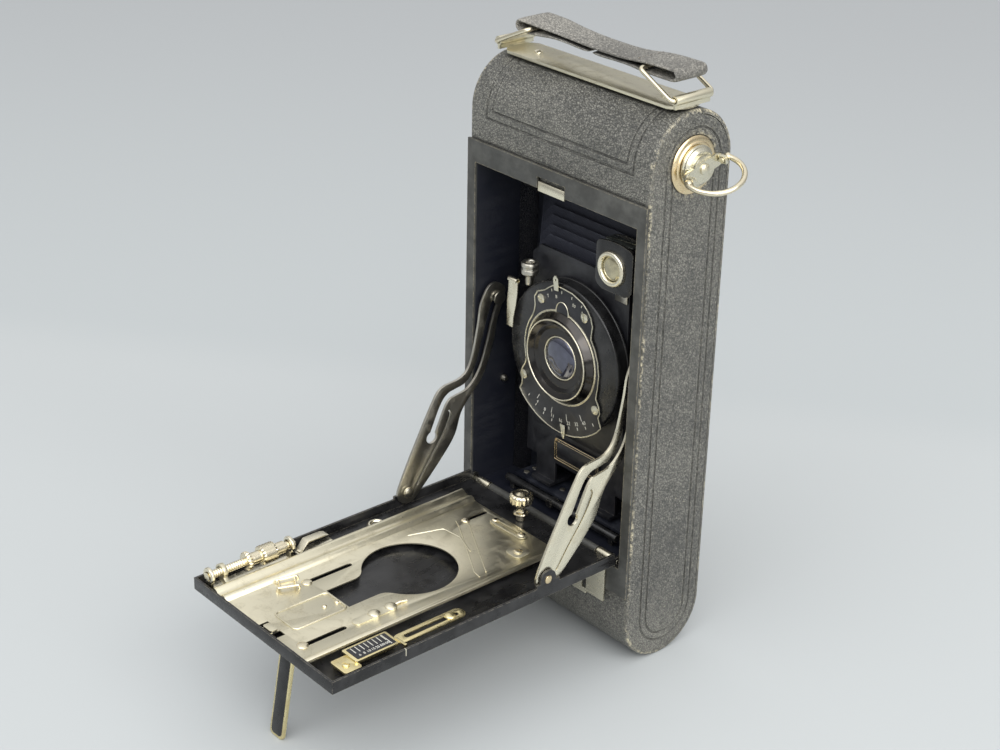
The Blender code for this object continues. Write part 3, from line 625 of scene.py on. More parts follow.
def joined_rings(rings):
    """A closed solid through rings of the same number of points, capped at both ends."""
    n = len(rings[0])
    points = [p for ring in rings for p in ring]
    faces = [list(range(n))[::-1], list(range(len(points) - n, len(points)))]
    for k in range(len(rings) - 1):
        at = k * n
        faces += [[at + i, at + (i + 1) % n, at + n + (i + 1) % n, at + n + i] for i in range(n)]
    return mesh_from(points, faces)


def half_stadium(inset, limit, front, steps=28):
    """The side outline (y, z) of the part in front of, or behind, the line y = limit."""
    r = END_R - inset
    turn = math.degrees(math.acos(limit / r))
    if front:
        return arc((0, END_R), r, -turn, -180, steps) + arc((0, TOP_Z), r, 180, turn, steps)
    return arc((0, END_R), r, -turn, 0, steps) + arc((0, TOP_Z), r, 0, turn, steps)


def shell_rings(front, limit):
    rings = []
    r, steps = 0.9, 4
    for side in (-1, 1):
        rim = []
        for k in range(steps + 1):
            a = math.radians(90 * k / steps)
            x = side * (HALF - r * (1 - math.sin(a)))
            rim.append([(x, y, z) for y, z in half_stadium(r * (1 - math.cos(a)), limit, front)])
        rings += rim[::-1] if side < 0 else rim
    return rings


GROOVE = 0.6  # radius of the tool that presses the leather's double lines
PRESSED = 0.12  # how far the tool's middle stays outside a flat face


def tooled_loop(r, x, shift):
    """A stadium line pressed into a side, r from the round ends' axes."""
    bottom = arc((shift, END_R), r, 180, 360, 24)
    top = arc((shift, TOP_Z), r, 0, 180, 24)
    return wire_loop("X", bottom + top, x, GROOVE, 6)


def tooled_frame(across, low, reach):
    """A line pressed up one side of the round top, along the front and back over the other side."""
    above = max(0.0, low - TOP_Z)
    over = arc((0, TOP_Z), END_R + 0.1, reach, 180 - math.degrees(above / END_R), 16)
    if not above:
        over.append((-END_R - 0.1, low))
    path = [(-across, y, z) for y, z in over] + [(across, y, z) for y, z in over[::-1]]
    return wire(path, GROOVE, 6)


grooves = [tooled_loop(r, side * (HALF + PRESSED), 0.7) for r in (12.5, 9.6) for side in (-1, 1)]
grooves += [tooled_frame(36.5, 187.5, 104), tooled_frame(33.5, 190.6, 104)]
inner = HALF - 1.8
rear_plates = [
    prism("X", half_stadium(1.8, SEAM - 0.5, False), *sorted((side * inner, side * HALF))) for side in (-1, 1)
]
seats = []
for side, z in ((-1, TOP_Z), (-1, END_R), (1, END_R)):
    seats.append(rod("X", (0, z), 3.2, *sorted((side * 44, side * 35.6))))
    seats.append(rod("X", (0, z), 1.6, *sorted((side * 36, side * 31.0))))
hollow = [prism("X", half_stadium(1.5, SEAM + 1, True), -inner, inner)]
hollow.append(box((-inner, inner), (-20, -10), (39.9, 171.5)))
shell = joined_rings(shell_rings(True, SEAM - 0.15))
shell = carve(shell, add=rear_plates)
shell = carve(shell, cut=hollow + [rod("X", (0, TOP_Z), 3.4, 40, 47)])
shell = carve(shell, add=seats, cut=grooves)
piece("leather_shell", shell, LEATHER, "body", "body_shell", bevel=0)

back_lines = []
for across, low, high in ((36.5, 15.0, 193.0), (33.5, 18.0, 190.0)):
    outline = rounded((-across, across), (low, high), 1.5)
    back_lines.append(wire_loop("Y", outline, END_R + PRESSED, GROOVE, 6))
back = joined_rings(shell_rings(False, SEAM + 0.15))
back = carve(back, cut=[prism("X", half_stadium(1.5, SEAM - 2, False), -50, 50)])
back = carve(back, cut=[rod("Y", (0, 60), 4.3, 10, 25), box((-31.3, 31.3), (10, 25), (27.7, 41.3))])
piece("leather_back", carve(back, cut=back_lines), LEATHER, "back", "back_cover", bevel=0)
ring = [(4.3, 18.3), (4.3, 17.6), (5.6, 17.9), (5.5, 18.45), (4.8, 18.5)]
piece("window_rim", lathe("Y", (0, 60), ring, 40), NICKEL, "back", bevel=0.05)

# ---------------------------------------------------------------- carrying handle

HANDLE_Z = 212.0


def handle_plate():
    shape = arc((-38, 0), 8, 112, 248, 12) + arc((38, 0), 8, -68, 68, 12)
    shape = [(x * 43.5 / 46 if abs(x) > 38 else x, y) for x, y in shape]
    parts = []
    for side in (-1, 1):
        x = side * 43.0
        parts.append(box((x - 0.5, x + 0.5), (-8.0, 8.0), (209.0, HANDLE_Z)))
        parts.append(rod("Y", (x, HANDLE_Z), 1.6, -8.2, 8.2, 28))
    bores = [rod("Y", (side * 43.0, HANDLE_Z), 1.0, -10, 10, 20) for side in (-1, 1)]
    return carve(prism("Z", shape, 208.2, 209.3), add=parts, cut=bores)


piece("nickel_handle_plate", handle_plate(), PLATE, "body", "handle_plate", bevel=0.2)
for side in (-1, 1):
    name = f"handle_rivet_{'left' if side < 0 else 'right'}"
    dome = [(0, 209.2), (1.6, 209.2), (1.5, 209.7), (0.9, 210.1), (0, 210.2)]
    piece(name, lathe("Z", (side * 31, 0), dome, 24), NICKEL, "body", bevel=0)
for place, pivot, bar in (("left", -43.0, -27.0), ("right", 43.0, 28.0)):
    path = [(pivot, -3, HANDLE_Z), (pivot, -9.5, HANDLE_Z), (bar, -9.5, 219.5)]
    path += [(x, -y, z) for x, y, z in path[::-1]]
    loop = wire(bent(path, 1.6, 5), 0.8, 14)
    piece(f"bail_wire_{place}", loop, POLISHED, f"bail_{place}", f"handle_bail_{place}", bevel=0)


def strap():
    """One band, folded round both crossbars and stitched back under itself."""
    line = [(0.2, 217.75), (-6, 218.0), (-12, 218.5), (-18, 218.6), (-24, 217.95), (-30, 217.75)]
    line += arc((-33.3, 219.5), 1.72, -90, -270, 8)
    line += [(-29, 221.1), (-24, 221.0), (-19, 220.6), (-12, 220.2), (-4, 219.8), (4, 219.45), (12, 219.4)]
    line += [(19, 219.9), (25, 220.7), (31, 221.1)]
    line += arc((40.2, 219.5), 1.72, 90, -90, 8)
    line += [(34, 217.75), (27, 217.8), (21, 218.2), (15, 217.95), (8, 217.75), (1.2, 217.7)]
    thick = 0.68
    points, faces = [], []
    across = 10
    path = [Vector(p) for p in line]
    for i, p in enumerate(path):
        along = (path[min(i + 1, len(path) - 1)] - path[max(i - 1, 0)]).normalized()
        normal = Vector((-along.y, along.x))
        waist = max(0.0, 1 - (abs(p.x - 1) / 24) ** 4)
        half = 7.4 - 1.25 * waist
        for layer in (-1, 1):
            for k in range(across + 1):
                t = 2 * k / across - 1
                crown = thick * (1 - 0.35 * abs(t) ** 5) + 0.08 * waist * math.sin(p.x * 0.9 + 3 * t)
                q = p + normal * layer * crown
                points.append((q.x, half * t + 0.25 * math.sin(0.55 * p.x) * waist, q.y))
    ring = 2 * (across + 1)
    order = list(range(across + 1)) + list(range(2 * across + 1, across, -1))
    for i in range(len(path) - 1):
        for k in range(ring):
            a, b = order[k], order[(k + 1) % ring]
            faces.append([i * ring + a, i * ring + b, (i + 1) * ring + b, (i + 1) * ring + a])
    last = (len(path) - 1) * ring
    for k in range(across):
        faces.append([k, k + 1, across + 2 + k, across + 1 + k])
        faces.append([last + k, last + k + 1, last + across + 2 + k, last + across + 1 + k])
    return mesh_from(points, faces)


band = piece("strap_band", strap(), STRAP, "strap", "handle_strap", bevel=0)
rounder = band.modifiers.new("round", "SUBSURF")
rounder.levels = rounder.render_levels = 2
stitches = []
for x, side in ((-22.5, -1), (23.5, 1)):
    for k in range(7):
        y = -5.4 + 1.8 * k
        over = [(y - 0.6, 220.75), (y - 0.4, 221.15), (y + 0.4, 221.15), (y + 0.6, 220.75)]
        stitches.append(wire(bent([(x, t, z) for t, z in over], 0.2), 0.17, 6))
piece("strap_stitches", merged(stitches), STRAP, "strap", bevel=0)

# ---------------------------------------------------------------- winding key

KEY_TILT = 17.3
KEY_DROOP = 10.6
BAIL_X = 51.9
BAIL_R = 9.84
KEY_AXIS = (0, 0, TOP_Z)
rim = [(3.4, 45.1), (10.0, 45.1), (10.0, 45.5), (9.2, 46.0), (8.3, 46.0), (7.9, 46.5), (3.4, 46.5)]
piece("key_base_ring", lathe("X", (0, TOP_Z), rim), GOLD, "body", "key_flange", bevel=0.1)


def key():
    collar = [(0, 30.6), (1.6, 30.6), (1.6, 35.6), (3.0, 35.6), (3.0, 46.8), (7.3, 46.8), (7.3, 47.4)]
    collar += [(6.7, 47.6), (6.7, 48.2), (6.2, 48.4), (5.6, 49.0), (0, 49.3)]
    plate = [disc((0, TOP_Z), 4.7, 40)]
    plate += [disc((side * 6.3, TOP_Z), 2.3, 28) for side in (-1, 1)]
    plate.append([(-6.3, TOP_Z - 2.2), (6.3, TOP_Z - 2.2), (6.3, TOP_Z + 2.2), (-6.3, TOP_Z + 2.2)])
    lugs = [box((50.3, 53.2), sorted((s * 7.0, s * 8.2)), (TOP_Z - 1.4, TOP_Z + 1.4)) for s in (-1, 1)]
    parts = [prism("X", outline, 49.1, 50.5) for outline in plate] + lugs
    eye = rod("Y", (BAIL_X, TOP_Z), 1.1, -12, 12, 20)
    for shape in parts + [eye]:
        turned(shape, "X", KEY_AXIS, KEY_TILT)
    return carve(lathe("X", (0, TOP_Z), collar), add=parts, cut=[eye])


piece("key_head", key(), CREAM, "key", "winding_key", bevel=0.25)
dome = [(0, 50.3), (2.0, 50.3), (1.9, 50.9), (1.3, 51.4), (0, 51.6)]
piece("key_rivet", lathe("X", (0, TOP_Z), dome, 32), CREAM, "key", bevel=0)
loop = [(BAIL_X, -6.3), (BAIL_X, -BAIL_R + 0.4), (BAIL_X + 0.6, -BAIL_R)]
loop += [(BAIL_X + x, y) for x, y in arc((2.73, 0), BAIL_R, -90, 90, 36)]
loop += [(BAIL_X + 0.6, BAIL_R), (BAIL_X, BAIL_R - 0.4), (BAIL_X, 6.3)]
bail = [wire([(x, t, TOP_Z) for x, t in loop], 0.95, 16)]
for side in (-1, 1):
    cuff = [(0.6, 8.6), (1.35, 8.6), (1.5, 9.2), (1.35, 9.9), (0.6, 9.9)]
    bail.append(lathe("Y", (BAIL_X, TOP_Z), [(r, side * t) for r, t in cuff], 24))
for shape in bail:
    turned(shape, "Y", (BAIL_X, 0, TOP_Z), KEY_DROOP)
    turned(shape, "X", KEY_AXIS, KEY_TILT)
piece("key_bail_wire", merged(bail), POLISHED, "key_loop", "key_bail", bevel=0)

# ---------------------------------------------------------------- bellows

PLEATS = 8
NOSE = (25.5, 70.0, 143.5, -2.0)
REAR = (39.0, 47.5, 166.0, 12.7)


def bellows():
    """Square pleats whose corners fold in and out in turn, as one thin closed skin."""
    rings = []
    for k in range(4 * PLEATS + 1):
        share = k / (4 * PLEATS)
        wave = 0.5 - 0.5 * math.cos(2 * math.pi * share * PLEATS)
        wide, low, high, y = [a + (b - a) * share for a, b in zip(NOSE, REAR)]
        out = -3.6 * (1 - wave)
        corner = 1.0 + 4.6 * wave
        w, a, b = wide + out, low - out, high + out
        rings.append((w, a, b, corner, y))
    points, faces = [], []
    for thick in (0.0, 0.45):
        for w, a, b, c, y in rings:
            w, a, b = w - thick, a + thick, b - thick
            ring = [(-w + c, a), (w - c, a), (w, a + c), (w, b - c)]
            ring += [(w - c, b), (-w + c, b), (-w, b - c), (-w, a + c)]
            points += [(x, y, z) for x, z in ring]
    n, count = 8, len(rings)
    for layer in range(2):
        for k in range(count - 1):
            at = n * (layer * count + k)
            for c in range(n):
                d = (c + 1) % n
                faces.append([at + c, at + d, at + n + d, at + n + c])
    for k in (0, count - 1):
        for c in range(n):
            d = (c + 1) % n
            near, far = n * k, n * (count + k)
            faces.append([near + c, near + d, far + d, far + c])
    return mesh_from(points, faces)


skin = bellows()
skin.name = "bellows_skin"
cloth = bpy.data.objects.new("bellows_skin", skin)
bpy.context.scene.collection.objects.link(cloth)
skin.materials.append(CLOTH)
soften(cloth, 0, 60)
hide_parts("bellows")
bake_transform(cloth)

# ---------------------------------------------------------------- shutter and lens

LENS = (0.0, 106.8)


def polar(radius, degrees):
    angle = math.radians(degrees)
    return (LENS[0] + radius * math.cos(angle), LENS[1] + radius * math.sin(angle))


def turning(profile, sides=96):
    return lathe("Y", LENS, profile, sides)


drum = [(11.0, -12.3), (27.3, -12.3), (27.9, -12.0), (28.2, -11.5), (28.2, -10.6), (27.9, -10.4)]
drum += [(27.9, -7.0), (28.2, -6.8), (28.2, -6.2), (26.5, -5.6), (11.0, -5.6)]
piece("shutter_drum", turning(drum), BLACK, "standard", "shutter_housing", bevel=0.1)

# The face plate: an upper plate with two screws, a narrow ring, and a lower plate with two screws.
# Each point is an angle and a radius about the lens.
FACE = [(141, 19.6), (137, 20.2), (132, 21.6), (128, 24.2), (122, 25.3), (112, 25.2), (107, 26.0)]
FACE += [(102, 26.8), (92, 26.9), (80, 26.9), (68, 26.7), (61, 26.0), (55, 25.0), (49, 23.4), (44, 20.6)]
FACE += [(40, 19.4), (30, 19.3), (15, 19.4), (0, 19.5), (-15, 19.8), (-26, 20.6), (-30, 23.4)]
FACE += [(-34, 25.2), (-38, 25.6), (-40, 27.0), (-42, 29.2)] + [(a, 29.5) for a in range(-48, -133, -6)]
FACE += [(-137, 29.2), (-139, 27.0), (-142, 25.6), (-147, 25.4), (-151, 23.2), (-155, 20.8), (-160, 19.6)]
FACE += [(a, 19.4) for a in range(-172, -217, -11)]
FACE_OUTLINE = [polar(r, a) for a, r in FACE]
plate = carve(prism("Y", FACE_OUTLINE, -13.0, -12.2), cut=[rod("Y", LENS, 11.0, -15, -10, 64)])
piece("shutter_face", plate, SATIN, "standard", "shutter_faceplate", bevel=0.1)
piece("face_edge", wire_loop("Y", FACE_OUTLINE, -13.0, 0.27, 8), CREAM, "standard", bevel=0)
circle = [polar(17.9, a) for a in range(0, 360, 5)]
piece("inner_ring_line", wire_loop("Y", circle, -13.05, 0.17, 6), NICKEL, "standard", bevel=0)


def screw(name, axis, place, base, lift, radius, body, look, slot_angle=30, out=-1):
    """A slotted cheese-head screw standing up from base by lift, towards out along the axis."""
    t = [base, base + out * lift * 0.7, base + out * lift]
    profile = [(0, t[0]), (radius, t[0]), (radius, t[1]), (radius * 0.82, t[2]), (0, t[2])]
    head = lathe(axis, place, profile, 28)
    low, high = sorted((base + out * lift * 0.55, base + out * lift * 1.5))
    cut = radius * 0.14
    a, b = place
    slit = [(a - 9, b - cut), (a + 9, b - cut), (a + 9, b + cut), (a - 9, b + cut)]
    groove = prism(axis, slit, low, high)
    centre = put(axis, *place, base)
    turned(groove, axis, centre, slot_angle)
    return piece(name, carve(head, cut=[groove]), look, body, bevel=0)


FACE_SCREWS = ((120, 22.4, 20), (60, 22.6, 75), (-36, 22.9, -30), (-145, 23.6, 55))
for number, (angle, r, lean) in enumerate(FACE_SCREWS, 1):
    screw(f"face_screw_{number}", "Y", polar(r, angle), -12.9, 0.75, 1.75, "standard", CREAM, lean)


def ticks(angles, low, high, width, y):
    marks = []
    for angle in angles:
        spread = math.degrees(width / ((low + high) / 2)) / 2
        near, far = angle - spread, angle + spread
        corners = [polar(low, near), polar(high, near), polar(high, far), polar(low, far)]
        marks.append(prism("Y", corners, y - 0.05, y + 0.05))
    return marks


def lettering(words, size):
    """Numbers from Blender's own typeface as thin closed solids, lying in XZ and facing -Y, centred."""
    text = bpy.data.curves.new("text", "FONT")
    text.body = words
    text.size = size * MM
    text.extrude = 0.05 * MM
    text.align_x = "CENTER"
    text.align_y = "CENTER"
    text.resolution_u = 3
    obj = bpy.data.objects.new("text", text)
    bpy.context.scene.collection.objects.link(obj)
    mesh = evaluated(obj)
    bpy.data.objects.remove(obj, do_unlink=True)
    bm = bmesh.new()
    bm.from_mesh(mesh)
    bmesh.ops.remove_doubles(bm, verts=bm.verts, dist=0.001 * MM)
    bm.to_mesh(mesh)
    bm.free()
    mesh.transform(Matrix.Rotation(math.radians(90), 4, "X"))
    return mesh


def dial(words, size, radius, angle, y, upright=0.0):
    mesh = lettering(words, size)
    mesh.transform(Matrix.Rotation(math.radians(upright), 4, "Y"))
    x, z = polar(radius, angle)
    mesh.transform(Matrix.Translation((x * MM, y * MM, z * MM)))
    return mesh


INK_Y = -13.03  # the plane of the dials' ink, on the face plate
marks = ticks(range(-128, -47, 10), 25.9, 27.0, 0.3, INK_Y)
marks += ticks((104, 92, 80, 68), 24.6, 25.6, 0.3, INK_Y)
marks += ticks(range(-120, -59, 20), 21.4, 23.8, 0.22, INK_Y)
for k, words in enumerate(("4", "8", "11", "16", "22", "32", "43")):
    angle = -118 + 10 * k
    marks.append(dial(words, 1.9, 24.7, angle, INK_Y, -(angle + 90)))
for words, angle in (("T", 110), ("B", 99), ("50", 76), ("25", 64)):
    marks.append(dial(words, 1.7, 22.9, angle, INK_Y, 90 - angle))
piece("dial_marks", merged(marks), INK, "standard", bevel=0, smooth=False)

badge = [(3.2 * math.cos(math.radians(a)), 3.9 * math.sin(math.radians(a))) for a in range(0, 360, 12)]
badge = [(x + polar(17.7, 90)[0], z + polar(17.7, 90)[1]) for x, z in badge]
piece("badge", prism("Y", badge, -13.3, -12.8), SATIN, "standard", bevel=0.1)
piece("badge_rim", wire_loop("Y", badge, -13.3, 0.2, 8), NICKEL, "standard", bevel=0)

barrel = [(7.8, -7.0), (7.8, -13.2), (8.6, -13.6), (9.2, -13.5), (10.6, -14.0), (11.2, -13.9), (12.6, -14.6)]
barrel += [(13.0, -14.5), (14.3, -15.7), (14.9, -15.9), (15.3, -15.7), (15.5, -15.0), (17.2, -13.6)]
barrel += [(17.4, -13.1), (10.6, -13.1), (10.6, -7.0)]
piece("lens_barrel", turning(barrel), LENS_BLACK, "standard", "front_lens_cell", bevel=0.08)
for name, r, y, thick, look in (
    ("lens_rim", 14.9, -15.9, 0.3, NICKEL),
    ("barrel_foot_line", 17.5, -13.1, 0.2, NICKEL),
    ("glass_rim", 8.0, -13.4, 0.28, NICKEL),
):
    circle = [polar(r, a) for a in range(0, 360, 4)]
    piece(name, wire_loop("Y", circle, y, thick, 10), look, "standard", bevel=0)


def bulge(radius, rim, rise, step):
    """The round front of a lens, from its middle out to its rim."""
    angles = [math.radians(a) for a in range(step, 91, step)]
    return [(0, rim - rise)] + [(radius * math.sin(a), rim - rise * math.cos(a)) for a in angles]


lens = bulge(7.7, -13.0, 1.9, 10) + [(7.7, -11.4), (0, -11.4)]
piece("front_lens", turning(lens), GLASS, "standard", "front_glass", bevel=0)

# ---------------------------------------------------------------- levers and the cable socket


def pointer(middle, near, far, width):
    outline = [polar(near, middle - 2.6), polar(near, middle + 2.6), polar(far - 1.2, middle + width)]
    outline += [polar(far, middle + 0.7), polar(far, middle - 0.7), polar(far - 1.2, middle - width)]
    shape = prism("Y", outline, -13.75, -13.3)
    return carve(shape, cut=[rod("Y", polar(far - 1.6, middle), 0.35, -15, -12, 16)])


piece("aperture_pointer", pointer(-84, 25.6, 31.0, 1.6), CREAM, "aperture", "aperture_lever", bevel=0.12)
piece("speed_pointer", pointer(97, 25.4, 31.0, 2.6), CREAM, "speed", "speed_lever", bevel=0.12)


def release():
    """A flat finger lever whose tip is rolled over."""
    blade = [(-28.8, 109.9), (-25.6, 109.9), (-25.3, 114), (-24.2, 119), (-23.5, 124)]
    blade += [(-23.5, 128.4), (-28.2, 128.4), (-28.5, 124), (-28.9, 119)]
    roll = ribbon(arc((-13.5, 128.4), 0.95, -90, 200, 10), 0.22)
    return carve(prism("Y", blade, -13.8, -13.3), add=[prism("X", roll, -28.1, -23.6)])


piece("release_blade", release(), NICKEL, "release", "release_lever", bevel=0.1)
cup = [(0, 127.8), (1.6, 127.8), (1.6, 131.2), (2.6, 131.5), (3.2, 132.1), (3.2, 133.6), (2.9, 133.8)]
cup += [(2.9, 134.6), (3.3, 134.9), (3.3, 135.9), (2.9, 136.4), (2.0, 136.4), (1.6, 136.0)]
cup += [(1.4, 134.4), (0, 134.2)]
piece("release_socket", lathe("Z", (-21, -10.2), cup, 48), STEEL, "standard", "cable_socket", bevel=0.06)

# ---------------------------------------------------------------- reflecting finder

EYE = (24.7, 149.7)
shield = [(16.9, 143.8), (18.0, 142.2), (20.2, 141.2), (31.2, 141.2), (33.4, 142.2), (34.5, 143.8)]
shield += [(34.5, 157.2)] + arc((25.7, 129.4), 30.1, 75, 105, 8) + [(16.9, 157.2)]
core = [(25.7 + (x - 25.7) * 0.93, 151 + (z - 151) * 0.94) for x, z in shield]
hood = prism("Y", shield, -14.4, -13.4)
case = prism("Y", core, -13.8, -7.0)
lip = prism("Y", shield, -7.4, -6.4)
holes = [rod("Y", EYE, 4.8, -16, -9.5, 48), rod("Y", (25.7, 151.5), 1.8, -8.4, -5, 24)]
holes.append(prism("Z", rounded((18.9, 32.5), (-12.9, -8.0), 1.0), 158.6, 165))
piece("finder_case", carve(hood, add=[case, lip], cut=holes), BLACK, "finder", "finder_body", bevel=0.18)
pane = prism("Z", rounded((19.0, 32.4), (-12.8, -8.1), 0.9), 158.7, 159.1)
piece("finder_pane", pane, GREY_GLASS, "finder", bevel=0.08)
ring = [(4.5, -14.2), (4.5, -15.0), (4.8, -15.4), (5.3, -15.6), (5.9, -15.5), (6.3, -15.1)]
ring += [(6.4, -14.5), (6.4, -14.2)]
piece("finder_eye_ring", lathe("Y", EYE, ring, 64), NICKEL, "finder", "finder_ring", bevel=0)
lens = lathe("Y", EYE, bulge(4.5, -14.0, 1.0, 15) + [(4.5, -13.4), (0, -13.4)], 48)
piece("finder_lens", lens, SMOKE, "finder", "finder_glass", bevel=0)

# ---------------------------------------------------------------- blank name plate, wall stud, floor screws

for inset, thick in ((0.4, 0.16), (1.3, 0.1)):
    frame_line = rounded((-11 + inset, 13 - inset), (58.5 + inset, 68 - inset), 0.6)
    name = f"name_plate_line_{1 if thick > 0.12 else 2}"
    piece(name, wire_loop("Y", frame_line, -4.45, thick, 6), GOLD, "standard", bevel=0)
for number, (x, z) in enumerate(((-10.0, 66.9), (12.0, 66.9)), 1):
    screw(f"name_plate_pin_{number}", "Y", (x, z), -4.3, 0.4, 0.5, "standard", GOLD, 20)
stud = [(0, -41.0), (1.3, -41.0), (1.3, -40.0), (0.9, -39.3), (0.9, -38.9), (0, -38.8)]
piece("wall_stud", lathe("X", (-4.4, 81.0), stud, 24), STEEL, "body", bevel=0.05)
TRACK_SCREWS = ((-27.0, -3.5), (-27.0, 1.0), (-8.2, -2.0), (8.2, -2.0), (27.0, -3.5), (27.0, 1.0))
for number, (x, y) in enumerate(TRACK_SCREWS, 1):
    screw(f"track_screw_{number}", "Z", (x, y), 45.55, 0.45, 1.1, "body", STEEL, 25 * number, out=1)

# ---------------------------------------------------------------- bed: sliding plate

PLATE_TOP = 46.0
PLATE_ENDS = (-143.2, -33.6)
SCREW = (-34.0, 50.0)  # the focusing screw's axis, across and up


def pill(x, y, steps=8):
    """A slot's outline with round ends, long in Y."""
    r = (x[1] - x[0]) / 2
    middle = (x[0] + x[1]) / 2
    return arc((middle, y[0] + r), r, 180, 360, steps) + arc((middle, y[1] - r), r, 0, 180, steps)


def sliding_plate():
    ridge = [(-30, 45.6), (-30, 47.3), (-29.6, 47.85), (-28.9, 48.0), (-28.2, 47.8)]
    ridge += [(-27.2, 47.0), (-26.0, 46.6), (-24.9, 46.9), (-24.2, 47.3), (-23.5, 47.45)]
    ridge += [(-22.8, 47.2), (-22.2, 46.5), (-21.6, 45.9), (-21.6, 45.6)]
    under = [(-29.4, 45), (-29.4, 47.0), (-28.9, 47.3), (-28.0, 46.9), (-26.8, 46.1), (-26.0, 45)]
    rail = [(21.8, 45.6), (22.3, 46.5), (23.0, 46.8), (23.9, 46.8), (24.4, 46.5), (24.5, 45.6)]
    lug = [(-34.6, 46.3), (-31, 45.6), (-29.0, 45.6), (-29.0, 46.4)]
    outline = rounded((-30, 24.5), PLATE_ENDS, 1.4)
    add = [
        prism("Y", ridge, *PLATE_ENDS),
        prism("Y", rail, *PLATE_ENDS),
        prism("Z", rounded((-1.5, 3.5), (-142.5, -139.5), 0.8), 45.6, 46.9),
        prism("Y", arc(SCREW, 2.7, -40, 220, 20) + lug, -137.6, -136.0),
    ]
    neck = [(-6.5, -112.8), (6.5, -112.8)]
    neck += arc((11.5, -100.5), 5.0, 180, 120, 6) + arc((-11.5, -100.5), 5.0, 60, 0, 6)
    cut = [
        prism("Y", under, -150, -20),
        rod("Y", SCREW, 1.75, -139, -134, 32),
        rod("Z", (0, -81.6), 17.0, 40, 50, 96),
        prism("Z", neck, 40, 50),
        box((-3.5, -1.5), (-150, -139), (40, 50)),
        box((3.5, 6.6), (-150, -139), (40, 50)),
        box((-1.5, 3.5), (-150, -142.5), (40, 50)),
        prism("Z", pill((-16, -14), (-115.3, -95.8)), 40, 50),
        prism("Z", pill((14.6, 16.6), (-138.8, -120.8)), 40, 50),
        prism("Z", pill((-14.0, -12.2), (-44.5, -35.5)), 40, 50),
    ]
    plate = carve(prism("Z", outline, 45.5, PLATE_TOP), add=add)
    return carve(plate, cut=cut)


piece("sliding_plate", sliding_plate(), PLATE, "focus_plate", "focusing_plate", bevel=0.1, angle=42)


def rivet(name, x, y, r, base=PLATE_TOP, lift=0.55, look=None, body="focus_plate"):
    dome = [(0, base - 0.1), (r, base - 0.1), (r, base + 0.15 * lift), (0.85 * r, base + 0.6 * lift)]
    dome += [(0.5 * r, base + 0.93 * lift), (0, base + lift)]
    return piece(name, lathe("Z", (x, y), dome, 28), look or POLISHED, body, bevel=0)


PLATE_RIVETS = [(-15.0, -114.9, 1.9), (15.4, -138.3, 2.0), (-13.1, -45.4, 1.6)]
PLATE_RIVETS += [(1.0, -119.1, 0.9), (1.5, -114.3, 0.9)]
for number, (x, y, r) in enumerate(PLATE_RIVETS, 1):
    rivet(f"plate_rivet_{number}", x, y, r)
domes = []
tab = prism("Z", pill((13.6, 17.4), (-118.0, -100.0)), 45.9, 46.25)
for y in (-109.0, -102.0):
    domes.append(lathe("Z", (15.3, y), [(0, 46.0), (2.3, 46.0), (2.1, 46.6), (1.2, 47.1), (0, 47.3)], 32))
piece("stop_tab", carve(tab, add=domes), PLATE, "focus_plate", bevel=0.12)
nib = wire(bent([(15.3, -100.5, 46.2), (15.4, -98.0, 46.5), (15.9, -95.6, 46.3)], 1.0), 0.45, 8)
piece("stop_tab_tail", nib, POLISHED, "focus_plate", bevel=0)
frame_path = rounded((-5.8, 6.6), (-135.0, -113.4), 1.8)
piece("pressed_frame", wire_loop("Z", frame_path, PLATE_TOP, 0.4, 10), PLATE, "focus_plate", bevel=0)
bridges = [
    bent([(-21.0, -124.0, 46.0), (-20.9, -123.6, 47.3), (-19.0, -116.2, 47.3), (-18.9, -115.8, 46.0)], 0.4),
    bent([(-16.6, -126.2, 46.0), (-16.5, -125.8, 47.3), (-13.7, -119.2, 47.3), (-13.6, -118.8, 46.0)], 0.4),
    [(-20.6, -122.8, 47.2), (-16.2, -125.0, 47.2)],
    [(-19.2, -117.0, 47.2), (-14.0, -119.9, 47.2)],
]
bracket = merged([wire(path, 0.42, 8) for path in bridges])
piece("guide_bracket", bracket, POLISHED, "focus_plate", bevel=0)

# Rear of the plate: a slotted lever with two rivets, a screwed foot, and pressed brace lines.
bar = [(y, x) for x, y in pill((-2.0, 2.0), (-9.0, 9.0))]
slit = [(y, x) for x, y in pill((-0.7, 0.7), (-6.5, 5.0))]
lever = carve(prism("Z", bar, 46.05, 46.5), cut=[prism("Z", slit, 44, 48)])
turned(lever, "Z", (0, 0, 0), 2)
lever.transform(Matrix.Translation((0.0015, -0.0374, 0)))
piece("catch_lever", lever, PLATE, "focus_plate", bevel=0.1)
rivet("catch_rivet_1", -5.9, -37.4, 1.2, 46.4)
rivet("catch_rivet_2", 7.9, -36.8, 1.5, 46.4)
foot = prism("Z", rounded((12.0, 19.6), (-49.0, -41.6), 2.4), 46.0, 46.45)
piece("stop_foot", foot, PLATE, "focus_plate", bevel=0.1)
screw("stop_screw", "Z", (16.2, -45.6), 46.4, 0.7, 1.6, "focus_plate", POLISHED, 35, out=1)
braces = []
for path in (
    [(-17.8, -68.6), (-13.4, -55.5), (-5.0, -54.6), (4.5, -58.0)],
    [(-14.8, -48.5), (-10.5, -50.5), (16.5, -66.0), (19.6, -66.4)],
    [(-12.0, -45.6), (-8.6, -47.2), (18.6, -62.6)],
):
    braces.append(wire(bent([(x, y, PLATE_TOP - 0.05) for x, y in path], 1.5), 0.24, 6))
piece("pressed_braces", merged(braces), PLATE, "focus_plate", bevel=0)

# ---------------------------------------------------------------- bed: focusing screw, eyelet, scale, knob


